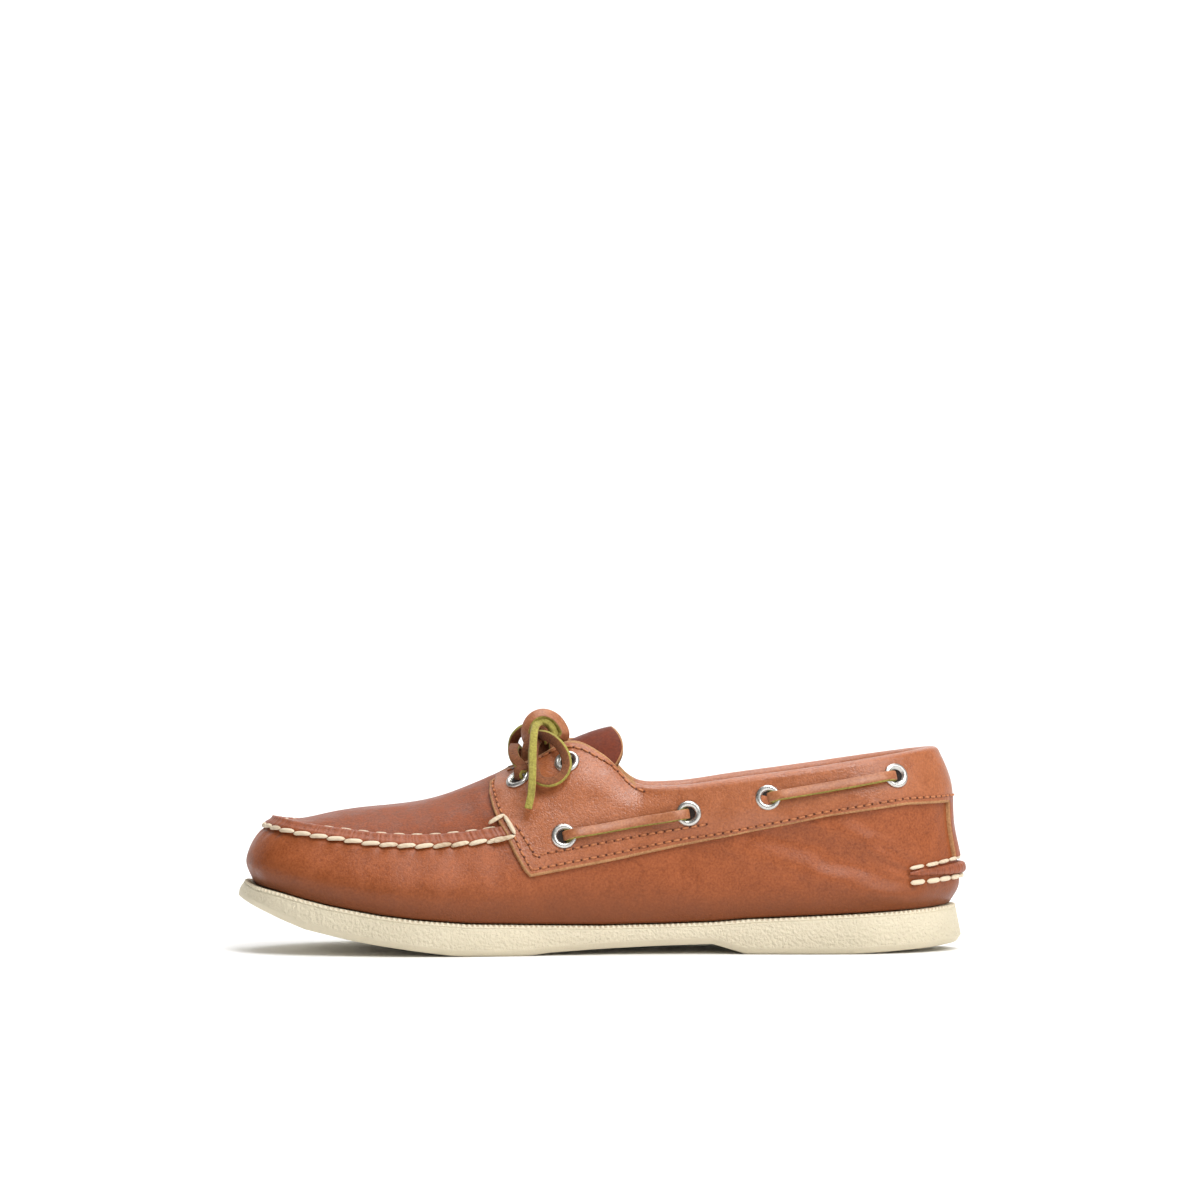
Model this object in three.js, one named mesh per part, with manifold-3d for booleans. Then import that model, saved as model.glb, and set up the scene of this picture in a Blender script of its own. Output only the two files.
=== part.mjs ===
import * as THREE from "three";
import { mergeVertices } from "three/addons/utils/BufferGeometryUtils.js";
import Module from "manifold-3d";

const wasm = await Module();
wasm.setup();

// Driving sizes in millimetres. X runs from toe to heel, the inner side of the foot is at -Y, and Z is up.
const shoeLength = 300;
const ballWidth = 104;
const instepHeight = 88;
const heelHeight = 14.5;
const wall = 2.2;
const overlay = 1.5;
const insoleThickness = 3;
const tongueThickness = 2.4;
const clearance = 0.3;
const featherGap = 0.5;
const seamBand = 5.4;
const seamRise = 1.6;
const eyeletDiameter = 10.4;
const eyeletHole = 5.4;
const eyeletBarrel = 6.4;
const laceWidth = 4.2;
const laceThickness = 2.2;

const table = (columns, rows) => rows.map((row) => Object.fromEntries(columns.map((c, i) => [c, row[i]])));

// Plan outline of the sole: shares of the length from the toe, and of the ball width from the centre line
const outline = table(
  ["along", "inner", "outer"],
  [
    [0, 0.077, -0.077],
    [0.008, 0.202, 0.058],
    [0.03, 0.308, 0.183],
    [0.067, 0.385, 0.303],
    [0.117, 0.436, 0.399],
    [0.18, 0.474, 0.476],
    [0.25, 0.49, 0.51],
    [0.327, 0.473, 0.512],
    [0.393, 0.438, 0.487],
    [0.46, 0.396, 0.452],
    [0.51, 0.369, 0.423],
    [0.557, 0.351, 0.402],
    [0.61, 0.34, 0.385],
    [0.7, 0.337, 0.363],
    [0.793, 0.344, 0.35],
    [0.873, 0.327, 0.327],
    [0.93, 0.269, 0.269],
    [0.97, 0.178, 0.178],
    [0.993, 0.087, 0.087],
    [1, 0, 0],
  ],
);

// Side line of the sole: shares of the length from the toe, and of the heel height for its two edges
const sideLine = table(
  ["along", "under", "over"],
  [
    [0, 1.63, 2.12],
    [0.03, 1.34, 1.9],
    [0.067, 1.01, 1.74],
    [0.1, 0.745, 1.56],
    [0.133, 0.59, 1.4],
    [0.167, 0.435, 1.27],
    [0.2, 0.315, 1.15],
    [0.25, 0.16, 1.02],
    [0.3, 0.03, 0.94],
    [0.32, 0, 0.905],
    [0.4, 0, 0.865],
    [0.43, 0.08, 0.85],
    [0.5, 0.17, 0.82],
    [0.58, 0.245, 0.85],
    [0.653, 0.29, 0.9],
    [0.7, 0, 0.98],
    [0.84, 0, 1.115],
    [0.89, 0.06, 1.17],
    [0.95, 0.14, 1.24],
    [1, 0.25, 1.32],
  ],
);

// Line of the toe seam and of the upper's widest shoulder, in shares of length, ball width and instep height
const shoulder = table(
  ["along", "inner", "outer", "up"],
  [
    [0.043, 0.067, -0.067, 0.602],
    [0.051, 0.173, 0.038, 0.6],
    [0.072, 0.26, 0.135, 0.589],
    [0.105, 0.308, 0.216, 0.572],
    [0.15, 0.337, 0.279, 0.552],
    [0.203, 0.359, 0.327, 0.532],
    [0.263, 0.365, 0.351, 0.525],
    [0.33, 0.361, 0.356, 0.543],
    [0.393, 0.346, 0.356, 0.58],
    [0.457, 0.327, 0.346, 0.636],
    [0.507, 0.313, 0.337, 0.648],
    [0.553, 0.306, 0.33, 0.602],
    [0.61, 0.308, 0.325, 0.551],
    [0.697, 0.314, 0.32, 0.523],
    [0.79, 0.32, 0.32, 0.534],
    [0.867, 0.306, 0.306, 0.557],
    [0.922, 0.245, 0.245, 0.568],
    [0.96, 0.162, 0.162, 0.58],
    [0.978, 0.079, 0.079, 0.591],
    [0.983, 0, 0, 0.597],
  ],
);

// Ridge of the plug, then the edge of throat and collar; crown is how far the leather swells, in wall thicknesses
const topLine = table(
  ["along", "inner", "outer", "up", "crown"],
  [
    [0.127, 0.048, -0.048, 0.634, 0.2],
    [0.147, 0.048, -0.048, 0.647, 0.5],
    [0.173, 0.043, -0.043, 0.659, 0.9],
    [0.203, 0.038, -0.038, 0.673, 1.3],
    [0.237, 0.032, -0.032, 0.686, 1.7],
    [0.277, 0.024, -0.024, 0.718, 1.7],
    [0.323, 0.014, -0.014, 0.777, 1.6],
    [0.36, 0.01, -0.01, 0.832, 1.6],
    [0.413, 0.12, 0.11, 0.913, 1.5],
    [0.462, 0.163, 0.156, 0.998, 1.3],
    [0.503, 0.197, 0.192, 0.928, 1],
    [0.548, 0.245, 0.24, 0.787, 0.6],
    [0.603, 0.285, 0.285, 0.775, 0.5],
    [0.693, 0.303, 0.303, 0.82, 0.4],
    [0.787, 0.293, 0.293, 0.868, 0.5],
    [0.857, 0.263, 0.263, 0.907, 0.7],
    [0.907, 0.197, 0.197, 0.936, 0.9],
    [0.94, 0.115, 0.115, 0.955, 1.1],
    [0.953, 0.058, 0.058, 0.961, 1.2],
    [0.958, 0, 0, 0.963, 1.2],
  ],
);
const throatRow = 7;

const lastRow = outline.length - 1;
const stepsPerRow = 2;
const rayCount = 2 * lastRow * stepsPerRow;
const throatRay = throatRow * stepsPerRow;
const up = new THREE.Vector3(0, 0, 1);

const alongToX = (along) => (along - 0.5) * shoeLength;

function lookUp(column, x) {
  const along = x / shoeLength + 0.5;
  const next = Math.min(Math.max(sideLine.findIndex((row) => row.along >= along), 1), lastRow);
  const [a, b] = [sideLine[next - 1], sideLine[next]];
  const share = THREE.MathUtils.clamp((along - a.along) / (b.along - a.along), 0, 1);
  return heelHeight * THREE.MathUtils.lerp(a[column], b[column], share);
}
const underside = (x) => lookUp("under", x);
const topside = (x) => lookUp("over", x);

// A closed smooth loop through the inner side of a table and back along its outer side
function loopThrough(rows) {
  const point = (row, side) =>
    new THREE.Vector3(
      alongToX(row.along),
      side < 0 ? -row.inner * ballWidth : row.outer * ballWidth,
      (row.up ?? 0) * instepHeight,
    );
  const inner = rows.map((row) => point(row, -1));
  const outer = rows.slice(1, -1).map((row) => point(row, 1));
  return new THREE.CatmullRomCurve3([...inner, ...outer.reverse()], true, "centripetal");
}

const outlineLoop = loopThrough(outline);
const shoulderLoop = loopThrough(shoulder);
const ridgeLine = new THREE.CatmullRomCurve3(
  topLine
    .slice(0, throatRow + 1)
    .map((row) => new THREE.Vector3(alongToX(row.along), -row.inner * ballWidth, row.up * instepHeight)),
  false,
  "centripetal",
);
const openingLoop = loopThrough(topLine.slice(throatRow));

function outlineAt(ray) {
  const t = (ray / rayCount) % 1;
  const point = outlineLoop.getPoint(t);
  const step = outlineLoop.getPoint((t + 1e-3) % 1).sub(outlineLoop.getPoint((t + 1 - 1e-3) % 1));
  const outward = new THREE.Vector3(-step.y, step.x, 0).normalize();
  if (outward.dot(new THREE.Vector3(point.x / 4, point.y, 0)) < 0) outward.negate();
  return { point, outward };
}

const rowOf = (ray) => Math.min(ray, rayCount - ray) / stepsPerRow;

function topAt(ray) {
  const row = rowOf(ray);
  if (row <= throatRow) return ridgeLine.getPoint(row / throatRow);
  const openRows = lastRow - throatRow;
  const share = (row - throatRow) / (2 * openRows);
  return openingLoop.getPoint(ray * 2 <= rayCount ? share : 1 - share);
}

function crownAt(ray) {
  const row = rowOf(ray);
  const low = Math.floor(row);
  const high = Math.min(low + 1, lastRow);
  return wall * THREE.MathUtils.lerp(topLine[low].crown, topLine[high].crown, row - low);
}

// Insets from the sole's outline: feather and bulge on the straight sides, and what toe and heel add
const featherInset = { side: 4.4, toe: 2.6, heel: 1 };
const bulgeInset = { side: 2.2, toe: 1.9, heel: -0.9 };
const topEdgeInset = { side: 0.4, toe: 3.4, heel: 2.6 };
const insetAt = (inset, outward) =>
  inset.side + (outward.x < 0 ? inset.toe : inset.heel) * outward.x ** 2;

const insetPoint = (ray, inset) => {
  const { point, outward } = outlineAt(ray);
  return point.clone().addScaledVector(outward, -insetAt(inset, outward));
};

// One rib line of the upper's surface: feather, bulge, shoulder, crown, then the ridge or the opening's edge
const bulgeRise = { toe: 0.37, heel: 0.24 };
function ribAt(ray) {
  const { outward } = outlineAt(ray);
  const feather = insetPoint(ray, featherInset);
  feather.z = topside(feather.x) + featherGap;
  const shoulderPoint = shoulderLoop.getPoint((ray / rayCount) % 1);
  const bulge = insetPoint(ray, bulgeInset);
  const rise = THREE.MathUtils.lerp(bulgeRise.toe, bulgeRise.heel, bulge.x / shoeLength + 0.5);
  bulge.z = THREE.MathUtils.lerp(feather.z, shoulderPoint.z, rise);
  const top = topAt(ray);
  const run = top.clone().sub(shoulderPoint);
  const swell = outward.clone().multiplyScalar(run.z).addScaledVector(up, Math.hypot(run.x, run.y)).normalize();
  const crown = shoulderPoint.clone().lerp(top, 0.5).addScaledVector(swell, crownAt(ray));
  return new THREE.CatmullRomCurve3([feather, bulge, shoulderPoint, crown, top], false, "centripetal");
}

// Levels along a rib: even steps to the seam band, its two edges and middle, then even steps to the top
const lowerSteps = 3;
const upperSteps = 4;
const seamLevel = lowerSteps + 1;
const levelCount = lowerSteps + upperSteps + 3;
const fineSteps = 64;
function levelsAt(ray) {
  const fine = ribAt(ray).getPoints(fineSteps);
  const lengths = [0];
  for (let i = 1; i < fine.length; i++) lengths.push(lengths[i - 1] + fine[i].distanceTo(fine[i - 1]));
  const whole = lengths.at(-1);
  const seam = lengths[fineSteps / 2];
  const low = seam - seamBand / 2;
  const high = seam + seamBand / 2;
  const stops = [];
  for (let i = 0; i < lowerSteps; i++) stops.push((low * i) / lowerSteps);
  stops.push(low, seam, high);
  for (let i = 1; i <= upperSteps; i++) stops.push(high + ((whole - high) * i) / upperSteps);
  return stops.map((stop) => {
    const next = Math.min(Math.max(lengths.findIndex((l) => l >= stop - 1e-9), 1), fineSteps);
    const share = (stop - lengths[next - 1]) / (lengths[next] - lengths[next - 1]);
    return fine[next - 1].clone().lerp(fine[next], share);
  });
}

const surface = Array.from({ length: rayCount }, (_, ray) => levelsAt(ray));

function closedGeometry(points, faces) {
  const geometry = new THREE.BufferGeometry();
  geometry.setAttribute("position", new THREE.Float32BufferAttribute(points.flatMap((p) => [p.x, p.y, p.z]), 3));
  geometry.setIndex(faces.flat());
  return geometry;
}

// Each quad goes in as two triangles, and a quad that has shrunk to a triangle as one
const quad = (a, b, c, d) =>
  [[a, b, c], [a, c, d]].filter(([p, q, r]) => p !== q && q !== r && p !== r);

const onRidge = (ray) => rowOf(ray) <= throatRow;
const vertexOf = (ray, level) => {
  const turned = (ray + rayCount) % rayCount;
  const shared = level === levelCount - 1 && onRidge(turned) ? Math.min(turned, rayCount - turned) : turned;
  return (shared % rayCount) * levelCount + level;
};

function skinFaces(rays, levels) {
  const faces = [];
  for (const ray of rays)
    for (const level of levels)
      faces.push(
        ...quad(
          vertexOf(ray, level),
          vertexOf(ray + 1, level),
          vertexOf(ray + 1, level + 1),
          vertexOf(ray, level + 1),
        ),
      );
  return faces;
}

const allRays = [...Array(rayCount).keys()];
const allLevels = [...Array(levelCount - 1).keys()];
const skinPoints = surface.flat();
const skin = closedGeometry(skinPoints, skinFaces(allRays, allLevels));
skin.computeVertexNormals();
const normalOf = (vertex) => new THREE.Vector3().fromBufferAttribute(skin.attributes.normal, vertex);
const outwardSign = Math.sign(normalOf(vertexOf(rayCount / 2, seamLevel)).x);

// A sheet between two offsets of the upper's surface, over a run of rays and levels
function sheet(from, to, rays, levels) {
  const points = [];
  for (const offset of [from, to])
    skinPoints.forEach((point, vertex) =>
      points.push(point.clone().addScaledVector(normalOf(vertex), offset * outwardSign)),
    );
  const half = skinPoints.length;
  const faces = skinFaces(rays, levels);
  const edges = new Map();
  faces.forEach(([a, b, c]) =>
    [[a, b], [b, c], [c, a]].forEach(([p, q]) => {
      const back = q + "," + p;
      if (edges.has(back)) edges.delete(back);
      else edges.set(p + "," + q, [p, q]);
    }),
  );
  const rims = [...edges.values()].flatMap(([p, q]) => quad(q, p, p + half, q + half));
  const turned = faces.map(([a, b, c]) => [a + half, b + half, c + half]);
  const flipped = faces.map(([a, b, c]) => [a, c, b]);
  return closedGeometry(points, [...turned, ...flipped, ...rims.map(([a, b, c]) => [a, c, b])]);
}

function toSolid(geometry) {
  const plain = geometry.clone();
  plain.deleteAttribute("normal");
  plain.deleteAttribute("uv");
  const merged = mergeVertices(plain, 1e-4);
  const solid = new wasm.Manifold(
    new wasm.Mesh({
      numProp: 3,
      vertProperties: merged.attributes.position.array,
      triVerts: new Uint32Array(merged.index.array),
    }),
  );
  if (solid.volume() >= 0) return solid;
  const turned = merged.index.array.slice();
  for (let i = 0; i < turned.length; i += 3) [turned[i], turned[i + 1]] = [turned[i + 1], turned[i]];
  return new wasm.Manifold(
    new wasm.Mesh({
      numProp: 3,
      vertProperties: merged.attributes.position.array,
      triVerts: new Uint32Array(turned),
    }),
  );
}

const shoe = new THREE.Group();
function addSolid(name, solid, colour) {
  const mesh = solid.getMesh();
  const geometry = new THREE.BufferGeometry();
  geometry.setAttribute("position", new THREE.BufferAttribute(mesh.vertProperties, 3));
  geometry.setIndex(new THREE.BufferAttribute(mesh.triVerts, 1));
  const made = new THREE.Mesh(geometry, new THREE.MeshStandardMaterial({ color: colour }));
  made.name = name;
  shoe.add(made);
}

// A prism through the whole width over a side view outline of [x, z] points, for one side or both
function sidePrism(corners, fromY, toY) {
  const shape = new THREE.Shape(corners.map(([x, z]) => new THREE.Vector2(x, z)));
  const geometry = new THREE.ExtrudeGeometry(shape, { depth: toY - fromY, bevelEnabled: false });
  geometry.rotateX(Math.PI / 2).translate(0, toY, 0);
  return toSolid(geometry);
}

// Outsole: rings round the outline from the bottom edge up to the top rim
const ringPoint = (ring, ray) => {
  const { point, outward } = outlineAt(ray);
  const lean = insetAt(topEdgeInset, outward) * ring.lean;
  const placed = point.clone().addScaledVector(outward, -(lean + ring.inset));
  placed.z = ring.from === "under" ? underside(placed.x) + ring.rise : topside(placed.x) - ring.rise;
  return placed;
};

function ringedSolid(rings) {
  const points = rings.flatMap((ring) => allRays.map((ray) => ringPoint(ring, ray)));
  const faces = [];
  const at = (ring, ray) => ring * rayCount + ((ray + rayCount) % rayCount);
  for (let ring = 0; ring < rings.length - 1; ring++)
    for (const ray of allRays)
      faces.push(...quad(at(ring, ray), at(ring, ray + 1), at(ring + 1, ray + 1), at(ring + 1, ray)));
  for (let ray = 0; ray < rayCount / 2; ray++) {
    const cap = (ring) => quad(at(ring, ray), at(ring, ray + 1), at(ring, -ray - 1), at(ring, -ray));
    faces.push(...cap(0).map(([a, b, c]) => [a, c, b]), ...cap(rings.length - 1));
  }
  return toSolid(closedGeometry(points, faces));
}

const ringColumns = ["from", "rise", "inset", "lean"];
const soleRings = table(ringColumns, [
  ["under", 0, 2.6, 0],
  ["under", 2.6, 0, 0],
  ["over", 3, 0, 0.6],
  ["over", 2.4, 0.8, 0.7],
  ["over", 1.8, 0, 0.8],
  ["over", 0.4, 0, 0.95],
  ["over", 0, 0.6, 1],
]);
addSolid("outsole", ringedSolid(soleRings), "#e3d8b8");

const insoleInset = featherInset.side + wall + clearance;
const insoleRings = table(ringColumns, [
  ["over", -clearance, insoleInset, 1],
  ["over", -clearance - insoleThickness, insoleInset, 1],
]);
addSolid("insole", ringedSolid(insoleRings), "#b98a5c");

// Points of the dressed surface seen from the side, for eyelets and laces
const tester = new THREE.Raycaster();
const skinMesh = new THREE.Mesh(skin, new THREE.MeshBasicMaterial({ side: THREE.DoubleSide }));
function sidePoint(offset, side, x, z) {
  tester.set(new THREE.Vector3(x, side * ballWidth, z), new THREE.Vector3(0, -side, 0));
  const hit = tester.intersectObject(skinMesh)[0];
  const corners = [hit.face.a, hit.face.b, hit.face.c];
  const position = (vertex) => new THREE.Vector3().fromBufferAttribute(skin.attributes.position, vertex);
  const weights = THREE.Triangle.getBarycoord(hit.point, ...corners.map(position), new THREE.Vector3());
  const normal = new THREE.Vector3();
  corners.forEach((vertex, i) =>
    normal.addScaledVector(normalOf(vertex), weights.getComponent(i) * outwardSign),
  );
  normal.normalize();
  return { point: hit.point.clone().addScaledVector(normal, offset), normal };
}

// Eyelet centres as seen from the side: shares of the length from the toe and of the instep height
const eyeletPlaces = table(
  ["name", "along", "up"],
  [
    ["eyelet_1", 0.39, 0.793],
    ["eyelet_2", 0.456, 0.878],
    ["eyelet_3", 0.4505, 0.5455],
    ["eyelet_4", 0.6207, 0.6515],
    ["eyelet_5", 0.7282, 0.7245],
    ["eyelet_6", 0.901, 0.819],
  ],
);

function turnedOnto({ point, normal }, geometry) {
  const turn = new THREE.Quaternion().setFromUnitVectors(new THREE.Vector3(0, 1, 0), normal);
  return geometry.applyQuaternion(turn).translate(point.x, point.y, point.z);
}

const dressed = clearance + overlay;
const flangeThickness = 1;
const flangeGap = 0.6;
const barrelDepth = dressed + wall + 0.6;
const eyeletSides = 10;
const eyeletProfile = [
  [eyeletHole / 2, -barrelDepth],
  [eyeletBarrel / 2, -barrelDepth],
  [eyeletBarrel / 2, flangeGap],
  [eyeletDiameter / 2, flangeGap],
  [eyeletDiameter / 2 - 0.9, flangeGap + flangeThickness],
  [eyeletHole / 2, flangeGap + flangeThickness - 0.3],
  [eyeletHole / 2, -barrelDepth],
].map(([r, h]) => new THREE.Vector2(r, h));

const sides = [
  { name: "inner", sign: -1 },
  { name: "outer", sign: 1 },
];
const bores = [];
const eyelets = [];
for (const { name, sign } of sides)
  for (const place of eyeletPlaces) {
    const seat = sidePoint(dressed, sign, alongToX(place.along), place.up * instepHeight);
    eyelets.push([place.name + "_" + name, toSolid(turnedOnto(seat, new THREE.LatheGeometry(eyeletProfile, eyeletSides)))]);
    const bore = new THREE.CylinderGeometry(
      eyeletBarrel / 2 + clearance,
      eyeletBarrel / 2 + clearance,
      4 * barrelDepth,
      eyeletSides,
    );
    bores.push(toSolid(turnedOnto(seat, bore)));
  }
const pierced = (solid) => bores.reduce((left, bore) => left.subtract(bore), solid);

addSolid("upper", pierced(toSolid(sheet(-wall, 0, allRays, allLevels))), "#b0623c");

// Saddle: the overlay round both facings, the collar and the heel, cut to its side view outline
const saddleOutline = table(
  ["along", "up"],
  [
    [0.3617, 1.1],
    [0.3617, 0.837],
    [0.3483, 0.776],
    [0.35, 0.727],
    [0.3547, 0.668],
    [0.3633, 0.6],
    [0.3723, 0.553],
    [0.383, 0.473],
    [0.3967, 0.393],
    [0.4053, 0.3625],
    [0.527, 0.44],
    [0.6037, 0.4966],
    [0.7077, 0.568],
    [0.8117, 0.64],
    [0.9167, 0.6886],
    [1.02, 0.695],
    [1.02, 1.1],
  ],
).map((row) => [alongToX(row.along), row.up * instepHeight]);
const dressing = toSolid(sheet(clearance, dressed, allRays, allLevels));
const saddle = dressing.intersect(sidePrism(saddleOutline, -ballWidth, ballWidth));
addSolid("saddle", pierced(saddle), "#b0623c");

// Toe seam: the raised band from one front edge of the saddle round the plug to the other
const seamEndRay = throatRay + 2;
const seamRays = allRays.filter((ray) => ray < seamEndRay || ray >= rayCount - seamEndRay);
const seamSheet = toSolid(sheet(clearance, clearance + seamRise, seamRays, [seamLevel - 1, seamLevel]));
const seamReach = [
  [0, 0.7],
  [0.3535, 0.7],
  [0.3535, 0.62],
  [0.3715, 0.5],
  [0, 0.4],
].map(([along, share]) => [alongToX(along), share * instepHeight]);
addSolid("toe_seam_ridge", seamSheet.intersect(sidePrism(seamReach, -ballWidth, ballWidth)), "#a3583a");

// Heel seam: the low ridge round the back of the heel, tapered to a point on each side
const heelSeam = [
  [0.92, 0.369],
  [0.935, 0.38],
  [1.03, 0.421],
  [1.03, 0.371],
].map(([along, share]) => [alongToX(along), share * instepHeight]);
const heelSheet = toSolid(sheet(clearance, clearance + seamRise, allRays, allLevels));
addSolid("heel_seam_ridge", heelSheet.intersect(sidePrism(heelSeam, -ballWidth, ballWidth)), "#a3583a");

// Back strip: the narrow piece over the centre back seam, between the heel seam and the saddle
const stripHalf = 9;
const stripBottom = 0.445;
const stripTop = 0.68;
const strip = [
  [0.95, stripBottom],
  [0.95, stripTop],
  [1.03, stripTop],
  [1.03, stripBottom],
].map(([along, share]) => [alongToX(along), share * instepHeight]);
addSolid("back_strip", dressing.intersect(sidePrism(strip, -stripHalf, stripHalf)), "#a3583a");

eyelets.forEach(([name, solid]) => addSolid(name, solid, "#c9c9c6"));

// Tongue: a curved leather sheet that starts under the plug, rises between the facings and stays below them
const tongueRows = table(
  ["along", "up", "half", "drop"],
  [
    [0.325, 0.765, 0.14, 0.07],
    [0.36, 0.805, 0.17, 0.12],
    [0.388, 0.861, 0.19, 0.15],
    [0.414, 0.9, 0.21, 0.18],
    [0.44, 0.952, 0.22, 0.2],
    [0.464, 0.99, 0.225, 0.21],
    [0.487, 1.02, 0.215, 0.2],
    [0.51, 1.042, 0.185, 0.16],
    [0.518, 1.045, 0.165, 0.12],
  ],
);
const tongueAcross = 10;
const tongueGap = 1.1;
function underLeather(x, y) {
  const heights = [[0, 0], [tongueGap, 0], [-tongueGap, 0], [0, tongueGap], [0, -tongueGap]].map(([dx, dy]) => {
    tester.set(new THREE.Vector3(x + dx, y + dy, 2 * instepHeight), new THREE.Vector3(0, 0, -1));
    const hit = tester.intersectObject(skinMesh)[0];
    return hit ? hit.point.z - (wall + tongueGap) / Math.abs(hit.face.normal.z) : Infinity;
  });
  return Math.min(...heights);
}
const tongueGrid = (lift) =>
  tongueRows.map((row) =>
    Array.from({ length: tongueAcross + 1 }, (_, j) => {
      const share = (2 * j) / tongueAcross - 1;
      const [x, y] = [alongToX(row.along), share * row.half * ballWidth];
      const arch = (row.up - row.drop * Math.abs(share) ** 2.5) * instepHeight;
      return new THREE.Vector3(x, y, Math.min(arch, underLeather(x, y)) + lift);
    }),
  );
const tonguePoints = [...tongueGrid(-tongueThickness).flat(), ...tongueGrid(0).flat()];
const tongueAt = (layer, i, j) => (layer * tongueRows.length + i) * (tongueAcross + 1) + j;
const tongueFaces = [];
for (let i = 0; i < tongueRows.length - 1; i++)
  for (let j = 0; j < tongueAcross; j++)
    for (const layer of [0, 1]) {
      const cell = quad(
        tongueAt(layer, i, j),
        tongueAt(layer, i + 1, j),
        tongueAt(layer, i + 1, j + 1),
        tongueAt(layer, i, j + 1),
      );
      tongueFaces.push(...(layer ? cell.map(([a, b, c]) => [a, c, b]) : cell));
    }
for (let i = 0; i < tongueRows.length - 1; i++)
  for (const j of [0, tongueAcross]) {
    const edge = quad(tongueAt(0, i, j), tongueAt(1, i, j), tongueAt(1, i + 1, j), tongueAt(0, i + 1, j));
    tongueFaces.push(...(j ? edge.map(([a, b, c]) => [a, c, b]) : edge));
  }
for (let j = 0; j < tongueAcross; j++)
  for (const i of [0, tongueRows.length - 1]) {
    const edge = quad(tongueAt(0, i, j), tongueAt(0, i, j + 1), tongueAt(1, i, j + 1), tongueAt(1, i, j));
    tongueFaces.push(...(i ? edge.map(([a, b, c]) => [a, c, b]) : edge));
  }
addSolid("tongue", toSolid(closedGeometry(tonguePoints, tongueFaces)), "#8a3f28");

// A cord swept along points; its section is given across and along the sweep's own frame
function cord(points, acrossNormal, acrossBinormal, steps) {
  const shape = new THREE.Shape(
    Array.from({ length: 8 }, (_, i) => {
      const angle = ((i + 0.5) * Math.PI) / 4;
      return new THREE.Vector2(
        (Math.sign(Math.cos(angle)) * Math.abs(Math.cos(angle)) ** 0.6 * acrossNormal) / 2,
        (Math.sign(Math.sin(angle)) * Math.abs(Math.sin(angle)) ** 0.6 * acrossBinormal) / 2,
      );
    }),
  );
  const extrudePath = new THREE.CatmullRomCurve3(points, false, "centripetal");
  return toSolid(new THREE.ExtrudeGeometry(shape, { extrudePath, steps, bevelEnabled: false }));
}

// Side laces: a flat lace out of one side eyelet and into the next
const flangeTop = dressed + flangeGap + flangeThickness;
const laceLift = flangeTop + clearance + laceThickness / 2;
const lacePairs = [
  ["front", eyeletPlaces[2], eyeletPlaces[3]],
  ["rear", eyeletPlaces[4], eyeletPlaces[5]],
];
for (const { name, sign } of sides)
  for (const [place, from, to] of lacePairs) {
    const stops = [0, 0.06, 0.12, 0.2, 0.5, 0.8, 0.88, 0.94, 1];
    const lifts = [1, 1, 1, 0.86, 0.8, 0.86, 1, 1, 1];
    const route = stops.map((share, i) => {
      const along = THREE.MathUtils.lerp(from.along, to.along, share);
      const height = THREE.MathUtils.lerp(from.up, to.up, share);
      return sidePoint(lifts[i] * laceLift, sign, alongToX(along), height * instepHeight).point;
    });
    addSolid("side_lace_" + place + "_" + name, cord(route, laceThickness, laceWidth, 12), "#c4885f");
  }

// Front lace: the crossing from one front facing eyelet over the tongue to the other
const frontSeat = (sign, lift) =>
  sidePoint(lift, sign, alongToX(eyeletPlaces[0].along), eyeletPlaces[0].up * instepHeight).point;
const [frontInner, frontOuter] = [-1, 1].map((sign) => frontSeat(sign, laceLift + 3 * clearance));
const archPoint = (share, height) =>
  frontInner.clone().lerp(frontOuter, share).setZ(topAt(throatRay + 1).z + height);
const frontArch = [
  [0.2, 2.4],
  [0.34, 4.6],
  [0.5, 5.2],
  [0.66, 4.6],
  [0.8, 2.4],
].map(([share, height]) => archPoint(share, height));
const frontRoute = [frontInner, ...frontArch, frontOuter];
addSolid("front_lace", cord(frontRoute, laceWidth, laceThickness, 14), "#c4885f");

// Bow: the knot over the throat, a loop and a free end down each facing, routed by hand in millimetres
const knotCentre = [-23, -1, 92.5];
const knotRadii = [8.4, 5.7, 5.8];
const knot = new THREE.SphereGeometry(1, 8, 6).scale(...knotRadii).translate(...knotCentre);
addSolid("knot", toSolid(knot), "#c4885f");

const bowRoutes = {
  loop_inner: [
    [-19.8, -7, 91.6],
    [-18, -13, 91.2],
    [-15.4, -20.1, 90.2],
    [-13.4, -25, 86.2],
    [-12.8, -28.6, 81.8],
    [-14, -31.6, 77.2],
    [-17.4, -33.6, 73.8],
    [-21.6, -34.2, 72.6],
    [-25, -32.6, 73.8],
    [-26.2, -29.2, 77.8],
    [-26, -24, 83.2],
    [-25.2, -17.6, 88.2],
    [-23.6, -11.6, 89.2],
  ],
  end_inner: [
    [-26.6, -6.6, 95],
    [-29.2, -13.2, 93],
    [-29.6, -23, 88.2],
    [-29.6, -30.4, 81.2],
    [-29.6, -35.4, 73.2],
    [-29.6, -38, 65.4],
    [-29.8, -39, 59.6],
  ],
  loop_outer: [
    [-28, 7, 92.2],
    [-32, 9.2, 92],
    [-35.8, 12.6, 88.6],
    [-36.8, 17, 83.6],
    [-35.6, 22, 78.6],
    [-31.6, 26.4, 75],
    [-26, 29.2, 74],
    [-20, 31.2, 77],
    [-15.6, 29, 81.6],
    [-15, 23.2, 87.6],
    [-17.2, 15.6, 91.6],
    [-19.6, 9, 93],
  ],
  end_outer: [
    [-23.4, 5.5, 95.6],
    [-23.6, 13.2, 95.4],
    [-23.6, 21.2, 90.4],
    [-23.6, 30.2, 83.4],
    [-23.6, 35.2, 75.4],
    [-23.6, 38, 67.4],
    [-23.6, 37.8, 60.4],
  ],
};
const bowThickness = 3;
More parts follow.
